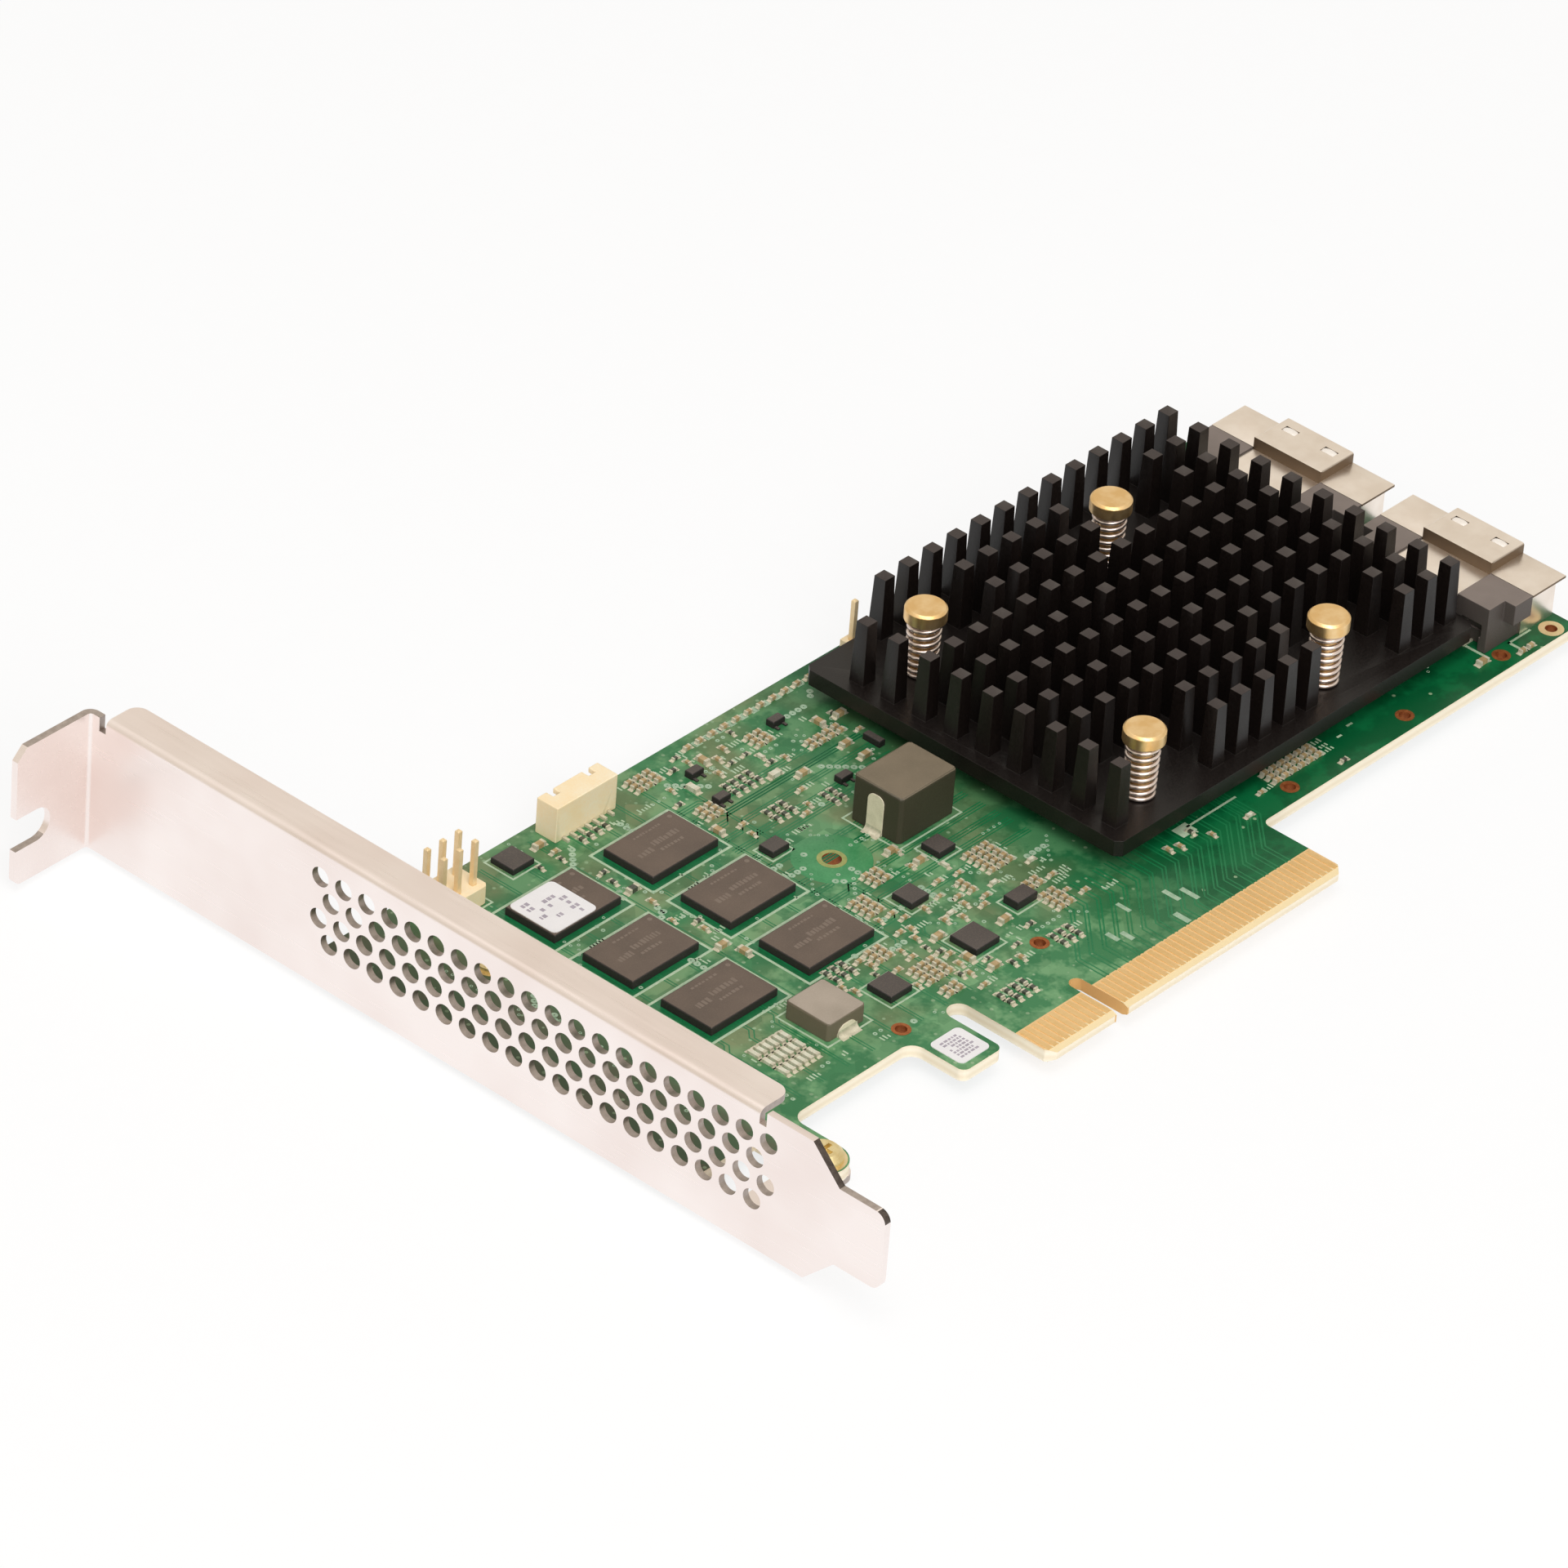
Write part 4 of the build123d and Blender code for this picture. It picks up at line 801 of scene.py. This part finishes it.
def chip_marks():
    """Faint rows of generic dashes and a pin-one dot burnt into each memory chip."""
    shape = bmesh.new()
    for node in MEMORY:
        low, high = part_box(node)
        for y, tall, first, last in ((0.83, 0.35, 0.34, 0.72), (0.52, 0.9, 0.42, 0.8),
                                     (0.36, 0.5, 0.42, 0.74), (0.44, 0.9, 0.16, 0.36)):
            x = low.x + first * (high.x - low.x)
            row = low.y + y * (high.y - low.y)
            while x < low.x + last * (high.x - low.x):
                wide = CHANCE.uniform(0.25, 0.5) * MM
                add_block(shape, Vector((x, row, high.z - 0.01 * MM)),
                          Vector((x + wide, row + tall * MM * CHANCE.uniform(0.7, 1),
                                  high.z + MARK)))
                x += wide + CHANCE.uniform(0.12, 0.25) * MM
        spin(shape, [(0.02 * MM, high.z + MARK), (0.3 * MM, high.z + MARK),
                     (0.31 * MM, high.z - 0.01 * MM)], high.x - 0.9 * MM, high.y - 0.9 * MM, 16)
    return piece_from(shape, "chip_laser_marks", [], "chip_mould", "laser_mark")


def solder_fillets():
    """Concave solder at the feet of the inductors' terminals."""
    shape = bmesh.new()
    for node, along in (("choke_legs", 0), ("coil_legs", 1)):
        for low, high in lumps(node):
            middle = (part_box(node)[0][along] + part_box(node)[1][along]) / 2
            out = -1 if low[along] < middle else 1
            face = low[along] if out < 0 else high[along]
            fillet_of_solder(shape, face, out, low[1 - along], high[1 - along], along)
    return piece_from(shape, "inductor_solder", [], "tinned_metal", "solder", angle=60)


def fillet_of_solder(shape, face, out, start, end, along, reach=0.9, rise=0.8, finish=0, steps=6):
    """A concave ramp of solder from a pad up a terminal's face."""
    curve = [(reach * (1 - t / steps) ** 2, rise * (t / steps) ** 2) for t in range(steps + 1)]
    rows = []
    for side in (start, end):
        row = []
        for off, up in curve:
            spot = [0, 0, up * MM]
            spot[along] = face + out * off * MM
            spot[1 - along] = side
            row.append(shape.verts.new(spot))
        spot = [0, 0, 0]
        spot[along] = face
        spot[1 - along] = side
        row.append(shape.verts.new(spot))
        rows.append(row)
        shape.faces.new(row).material_index = finish
    for i in range(len(curve)):
        side = shape.faces.new((rows[0][i], rows[0][i + 1], rows[1][i + 1], rows[1][i]))
        side.material_index = finish


# ------------------------------------------------------------------ sockets and headers
def connectors():
    """Cable sockets, and the ivory headers with their pins."""
    for i in (1, 2):
        softened_copy(f"socket_{i}_housing", f"socket_{i}_moulding", "socket_mould", 0.1, "nylon")
        softened_copy(f"socket_{i}_shell", f"socket_{i}_cage", "socket_shell", 0.08, "shell")
        keep(f"socket_{i}_tails", "tinned_metal", "tin")
    latch_tongues()
    for node, name, width in (("backup_connector_housing", "backup_connector_moulding", 0.12),
                              ("service_header_base", "service_header_moulding", 0.1),
                              ("test_pin_base", "test_pin_moulding", 0.1)):
        softened_copy(node, name, "ivory_mould", width, "ivory")
    softened_copy("backup_connector_pins", "backup_connector_contacts", "gold_plate", 0.04, "tin")
    for node in ("service_header_pins", "test_pin"):
        softened_copy(node, f"{node}_plated", "gold_plate", 0.04, "pin_gold")


def latch_tongues():
    """The oval of each latch tongue, lying in its window in a socket's hump, painted near-white as
    a painted highlight.
    """
    shape = bmesh.new()
    for i in (1, 2):
        low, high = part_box(f"socket_{i}_shell")
        middle = (low.y + high.y) / 2
        for side in (-1, 1):
            oval(shape, high.x - 2.0 * MM, middle + side * 3.0 * MM, high.z - 0.12 * MM)
    return piece_from(shape, "latch_tongues", [], "socket_shell", "bright_nickel", angle=60)


def oval(shape, x, y, z, long=1.15, wide=0.7, rise=0.12, steps=20):
    """A low domed oval, long side across the card."""
    rings = []
    for share, up in ((1.0, 0.0), (0.85, 0.6), (0.55, 0.95)):
        rings.append([shape.verts.new((x + wide * share * MM * math.cos(2 * math.pi * k / steps),
                                       y + long * share * MM * math.sin(2 * math.pi * k / steps),
                                       z + rise * up * MM)) for k in range(steps)])
    for one, two in zip(rings, rings[1:]):
        for k in range(steps):
            n = (k + 1) % steps
            shape.faces.new((one[k], one[n], two[n], two[k]))
    shape.faces.new(rings[-1])


def small_part(shape, low, high, along, cap=0.22, finish=0, proud=0.02):
    """A chip component: ceramic body, metal caps, and solder on pads beyond each end."""
    size = high - low
    length = size[along]
    inset = Vector((0, 0, 0))
    inset[along] = cap * length / 2
    slim = Vector((proud * MM, proud * MM, 0))
    slim[along] = 0
    add_block(shape, low + inset + slim, high - inset - slim - Vector((0, 0, proud * MM)), finish)
    for end in (0, 1):
        a, b = low.copy(), high.copy()
        if end:
            a[along] = high[along] - cap * length
        else:
            b[along] = low[along] + cap * length
        add_block(shape, a, b, 1)
        face, out = (high[along], 1) if end else (low[along], -1)
        fillet_of_solder(shape, face, out, low[1 - along], high[1 - along], along, 0.3, 0.32,
                         finish=2, steps=3)
        pad_low, pad_high = a.copy(), b.copy()
        pad_low[1 - along] -= 0.07 * MM
        pad_high[1 - along] += 0.07 * MM
        pad_low[along] = min(face, face + out * 0.38 * MM)
        pad_high[along] = max(face, face + out * 0.38 * MM)
        pad_low.z, pad_high.z = 0, PAD
        add_block(shape, pad_low, pad_high, 2)


def small_parts(node, name, slot, finish):
    """Capped and soldered chip parts in place of the lumps of a CAD node."""
    shape = bmesh.new()
    for low, high in lumps(node):
        along = 0 if high.x - low.x > high.y - low.y else 1
        small_part(shape, low, high, along)
    return piece_from(shape, name, [node], slot, finish, "tin", "solder", angle=30)


def scattered_parts():
    """The crowd of smallest chip parts between the larger ones, on a half-millimetre grid."""
    shape = bmesh.new()
    for x0, y0, x1, y1, count in ((-9, 13.2, 5, 20, 34), (-9, 23, 6, 30, 34), (-8, 49, 9, 66.5, 44),
                                  (-7, 61, 8, 66.5, 30),
                                  (-30, 62, -24, 67, 8), (13.5, 51, 20, 61, 22),
                                  (3, 30, 7, 40, 10), (-20, 22.5, -15, 27, 10),
                                  (-15, 15, -7, 27, 26), (-24.6, 29, -22.6, 60, 12),
                                  (6, 15, 14, 27, 18), (24, 12.8, 60, 16.5, 12),
                                  (82, 13.5, 92, 20, 12)):
        for _ in range(count):
            x = round(CHANCE.uniform(x0, x1) * 2) / 2 * MM
            y = round(CHANCE.uniform(y0, y1) * 2) / 2 * MM
            long, wide, tall = CHANCE.choice(((1.0, 0.5, 0.4), (1.0, 0.5, 0.4), (1.6, 0.8, 0.6),
                                              (0.8, 0.45, 0.35)))
            finish = CHANCE.choice((0, 0, 0, 0, 3, 4))
            along = CHANCE.randint(0, 1)
            half = Vector((wide, long, 0) if along else (long, wide, 0)) * MM / 2
            corners = [(x + i * (half.x + 0.3 * MM), y + j * (half.y + 0.3 * MM))
                       for i in (-1, 0, 1) for j in (-1, 0, 1)]
            if not all(clear_spot(cx, cy, 0.15) for cx, cy in corners):
                continue
            low = Vector((x, y, 0)) - half
            high = Vector((x, y, tall * MM)) + half
            small_part(shape, low, high, along, finish=finish)
            STANDING.append((low, high))
            SMALL.append((low, high))
    return piece_from(shape, "scattered_chip_parts", [], "tan_ceramic", "tan", "tin", "solder",
                      "glaze", "alumina", angle=30)


def array_bars():
    """The block of resistor arrays: upright bars in three short rows, each with metal ends."""
    low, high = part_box("resistor_arrays")
    shape = bmesh.new()
    columns, rows = 6, 3
    wide = (high.x - low.x) / columns
    deep = (high.y - low.y) / rows
    for i in range(columns):
        for j in range(rows):
            a = Vector((low.x + (i + 0.2) * wide, low.y + (j + 0.12) * deep, low.z))
            b = Vector((low.x + (i + 0.8) * wide, low.y + (j + 0.88) * deep, high.z))
            small_part(shape, a, b, 1)
    return piece_from(shape, "resistor_arrays_capped", ["resistor_arrays"], "resistor_ceramic",
                      "alumina", "tin", "solder", angle=30)


# ------------------------------------------------------------------ labels
def labels():
    """Paper labels with rounded corners, and faint rows of generic dashes printed on them."""
    for node, rows, share in (("memory_label", 6, 0.32), ("board_label", 7, 0.8)):
        low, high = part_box(node)
        rounded_sheet(node, f"{node}_paper", low, high)
        shape = bmesh.new()
        step = (high.y - low.y - 1.4 * MM) / rows
        for row in range(rows):
            x = low.x + 0.9 * MM
            y = low.y + 0.8 * MM + row * step
            while x < high.x - 1.3 * MM:
                length = CHANCE.uniform(0.25, 0.6) * MM
                if CHANCE.random() < share:
                    add_block(shape, Vector((x, y, high.z)),
                              Vector((x + length, y + 0.6 * step, high.z + MARK)))
                x += length + 0.15 * MM
        piece_from(shape, f"{node}_dashes", [], "paper_label", "print")


def rounded_sheet(node, name, low, high, radius=0.7, steps=6):
    """A flat sheet with rounded corners that fills a node's box."""
    shape = bmesh.new()
    r = radius * MM
    outline = []
    for cx, cy, first in ((high.x - r, high.y - r, 0), (low.x + r, high.y - r, 90),
                          (low.x + r, low.y + r, 180), (high.x - r, low.y + r, 270)):
        for k in range(steps + 1):
            angle = math.radians(first + 90 * k / steps)
            outline.append((cx + r * math.cos(angle), cy + r * math.sin(angle)))
    bottom = [shape.verts.new((x, y, low.z)) for x, y in outline]
    top = [shape.verts.new((x, y, high.z)) for x, y in outline]
    shape.faces.new(top)
    shape.faces.new(list(reversed(bottom)))
    for i in range(len(outline)):
        j = (i + 1) % len(outline)
        shape.faces.new((bottom[i], bottom[j], top[j], top[i]))
    return piece_from(shape, name, [node], "paper_label", "paper")


# ------------------------------------------------------------------ stage
def studio():
    """White floor, two soft lamps overhead and in front, and a soft warm surround."""
    low, _ = CAD_BOX
    mesh = bpy.data.meshes.new("studio_floor")
    reach = 6.0
    z = low.z - 0.02 * MM
    mesh.from_pydata([(-reach, -reach, z), (reach, -reach, z), (reach, reach, z),
                      (-reach, reach, z)], [], [(0, 1, 2, 3)])
    floor = bpy.data.objects.new("studio_floor", mesh)
    put_in_scene(floor)
    material, tree, place = blank("white_card_floor")
    fibre = add(tree, "TexNoise", {"Vector": place, "Scale": 1 / (3 * MM), "Detail": 2.0})
    tint = add(tree, "Mix", {0: fibre, 6: "#fbfbfb", 7: "#ffffff"}, data_type="RGBA")
    card = add(tree, "BsdfPrincipled", {"Base Color": tint, "Roughness": 0.9,
                                        "Specular IOR Level": 0.1})
    # seen directly it is lit card and plain white mixed, and in metal it is plain white
    path = add(tree, "LightPath")
    white = add(tree, "Emission", {"Color": "#ffffff", "Strength": 1.0})
    seen = add(tree, "MapRange", {"Value": path.outputs["Is Camera Ray"], "To Max": 0.8})
    share = add(tree, "Math", {0: seen, 1: path.outputs["Is Glossy Ray"]},
                operation="MAXIMUM")
    mixed = add(tree, "MixShader", {0: share, 1: card, 2: white})
    add(tree, "OutputMaterial", {"Surface": mixed})
    floor.data.materials.append(material)
    world = bpy.data.worlds.new("soft_surround")
    world.use_nodes = True
    tree = world.node_tree
    tree.nodes.clear()
    path = add(tree, "LightPath")
    # metal sees a warm grey wall low down that turns white overhead
    upward = add(tree, "SeparateXYZ", {"Vector": add(tree, "TexCoord").outputs["Generated"]})
    overhead = add(tree, "MapRange", {"Value": upward.outputs[2], "From Min": 0.5})
    wall = add(tree, "Mix", {0: overhead, 6: "#dfd8cb", 7: "#f7f1e8"},
               data_type="RGBA")
    plain = add(tree, "Mix", {0: path.outputs["Is Glossy Ray"], 6: "#fff8ef", 7: wall},
                data_type="RGBA")
    plain = add(tree, "Mix", {0: path.outputs["Is Camera Ray"], 6: plain,
                              7: "#ffffff"}, data_type="RGBA")
    strength = add(tree, "MapRange", {"Value": path.outputs["Is Diffuse Ray"], "To Min": 1.0,
                                      "To Max": 0.4})
    sky = add(tree, "Background", {"Color": plain, "Strength": strength})
    add(tree, "OutputWorld", {"Surface": sky})
    bpy.context.scene.world = world
    lamp("overhead_softbox", (-0.3, -0.2, 1.25), 0.8, 6.0)
    lamp("front_softbox", (-0.6, -0.9, 0.8), 0.8, 9.0)


def lamp(name, spot, size, watts):
    """A square soft lamp aimed at the middle of the card."""
    light = bpy.data.lights.new(name, "AREA")
    light.size = size
    light.energy = watts
    lamp_object = bpy.data.objects.new(name, light)
    lamp_object.location = spot
    aim = Vector((0.0, 0.04, 0.0)) - Vector(spot)
    lamp_object.rotation_euler = aim.to_track_quat("-Z", "Y").to_euler()
    put_in_scene(lamp_object)


def camera():
    """Long lens over the slot edge, from beyond the bracket's foot."""
    data = bpy.data.cameras.new("camera")
    data.lens = 243.0
    data.sensor_width = 36.0
    data.clip_start = 0.05
    holder = bpy.data.objects.new("camera", data)
    holder.location = (-0.76131, -0.56846, 0.69721)
    holder.rotation_euler = [math.radians(a) for a in (54.686, -3.751, -48.213)]
    put_in_scene(holder)
    bpy.context.scene.camera = holder
    bpy.context.scene.view_settings.view_transform = "Standard"


# ------------------------------------------------------------------ the card
for kept_part in (("circuit_board", "solder_mask", "mask"),
                  ("edge_contacts_front", "gold_plate", "gold"),
                  ("edge_contacts_back", "gold_plate", "gold"),
                  ("controller_substrate", "chip_substrate", "substrate"),
                  ("controller_lid", "chip_lid", "shell"),
                  ("thermal_pad", "thermal_compound", "silicone")):
    keep(*kept_part)
# everything that stands on the component side or goes through the board: marks, vias and
# scattered parts keep clear of it
SMALL = [pair for name in ("chip_capacitors", "chip_resistors") for pair in lumps(name)]
STANDING = SMALL + [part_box(name) for name in NODES
                    if -0.5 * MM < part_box(name)[0].z < 1 * MM and name not in
                    ("edge_contacts_front", "chip_capacitors", "chip_resistors", "transistors",
                     "bracket")]
STANDING += lumps("transistors")
for hole_x, hole_y, bore in round_holes("circuit_board"):
    room = Vector((bore + 0.5 * MM, bore + 0.5 * MM, 0))
    STANDING.append((Vector((hole_x, hole_y, 0)) - room, Vector((hole_x, hole_y, 0)) + room))
tracks()
edge_pads()
mask_windows()
scattered_parts()
vias_and_test_points()
silkscreen()
plated_holes()
slot_bracket()
for where in ("lower", "upper"):
    softened_copy(f"bracket_screw_{where}", f"bracket_screw_{where}_plated", "yellow_zinc", 0.08,
                  "zinc")
heatsink_and_pins()
packages()
connectors()
small_parts("chip_capacitors", "chip_capacitors_capped", "tan_ceramic", "tan")
small_parts("chip_resistors", "chip_resistors_capped", "resistor_ceramic", "glaze")
array_bars()
labels()
studio()
camera()
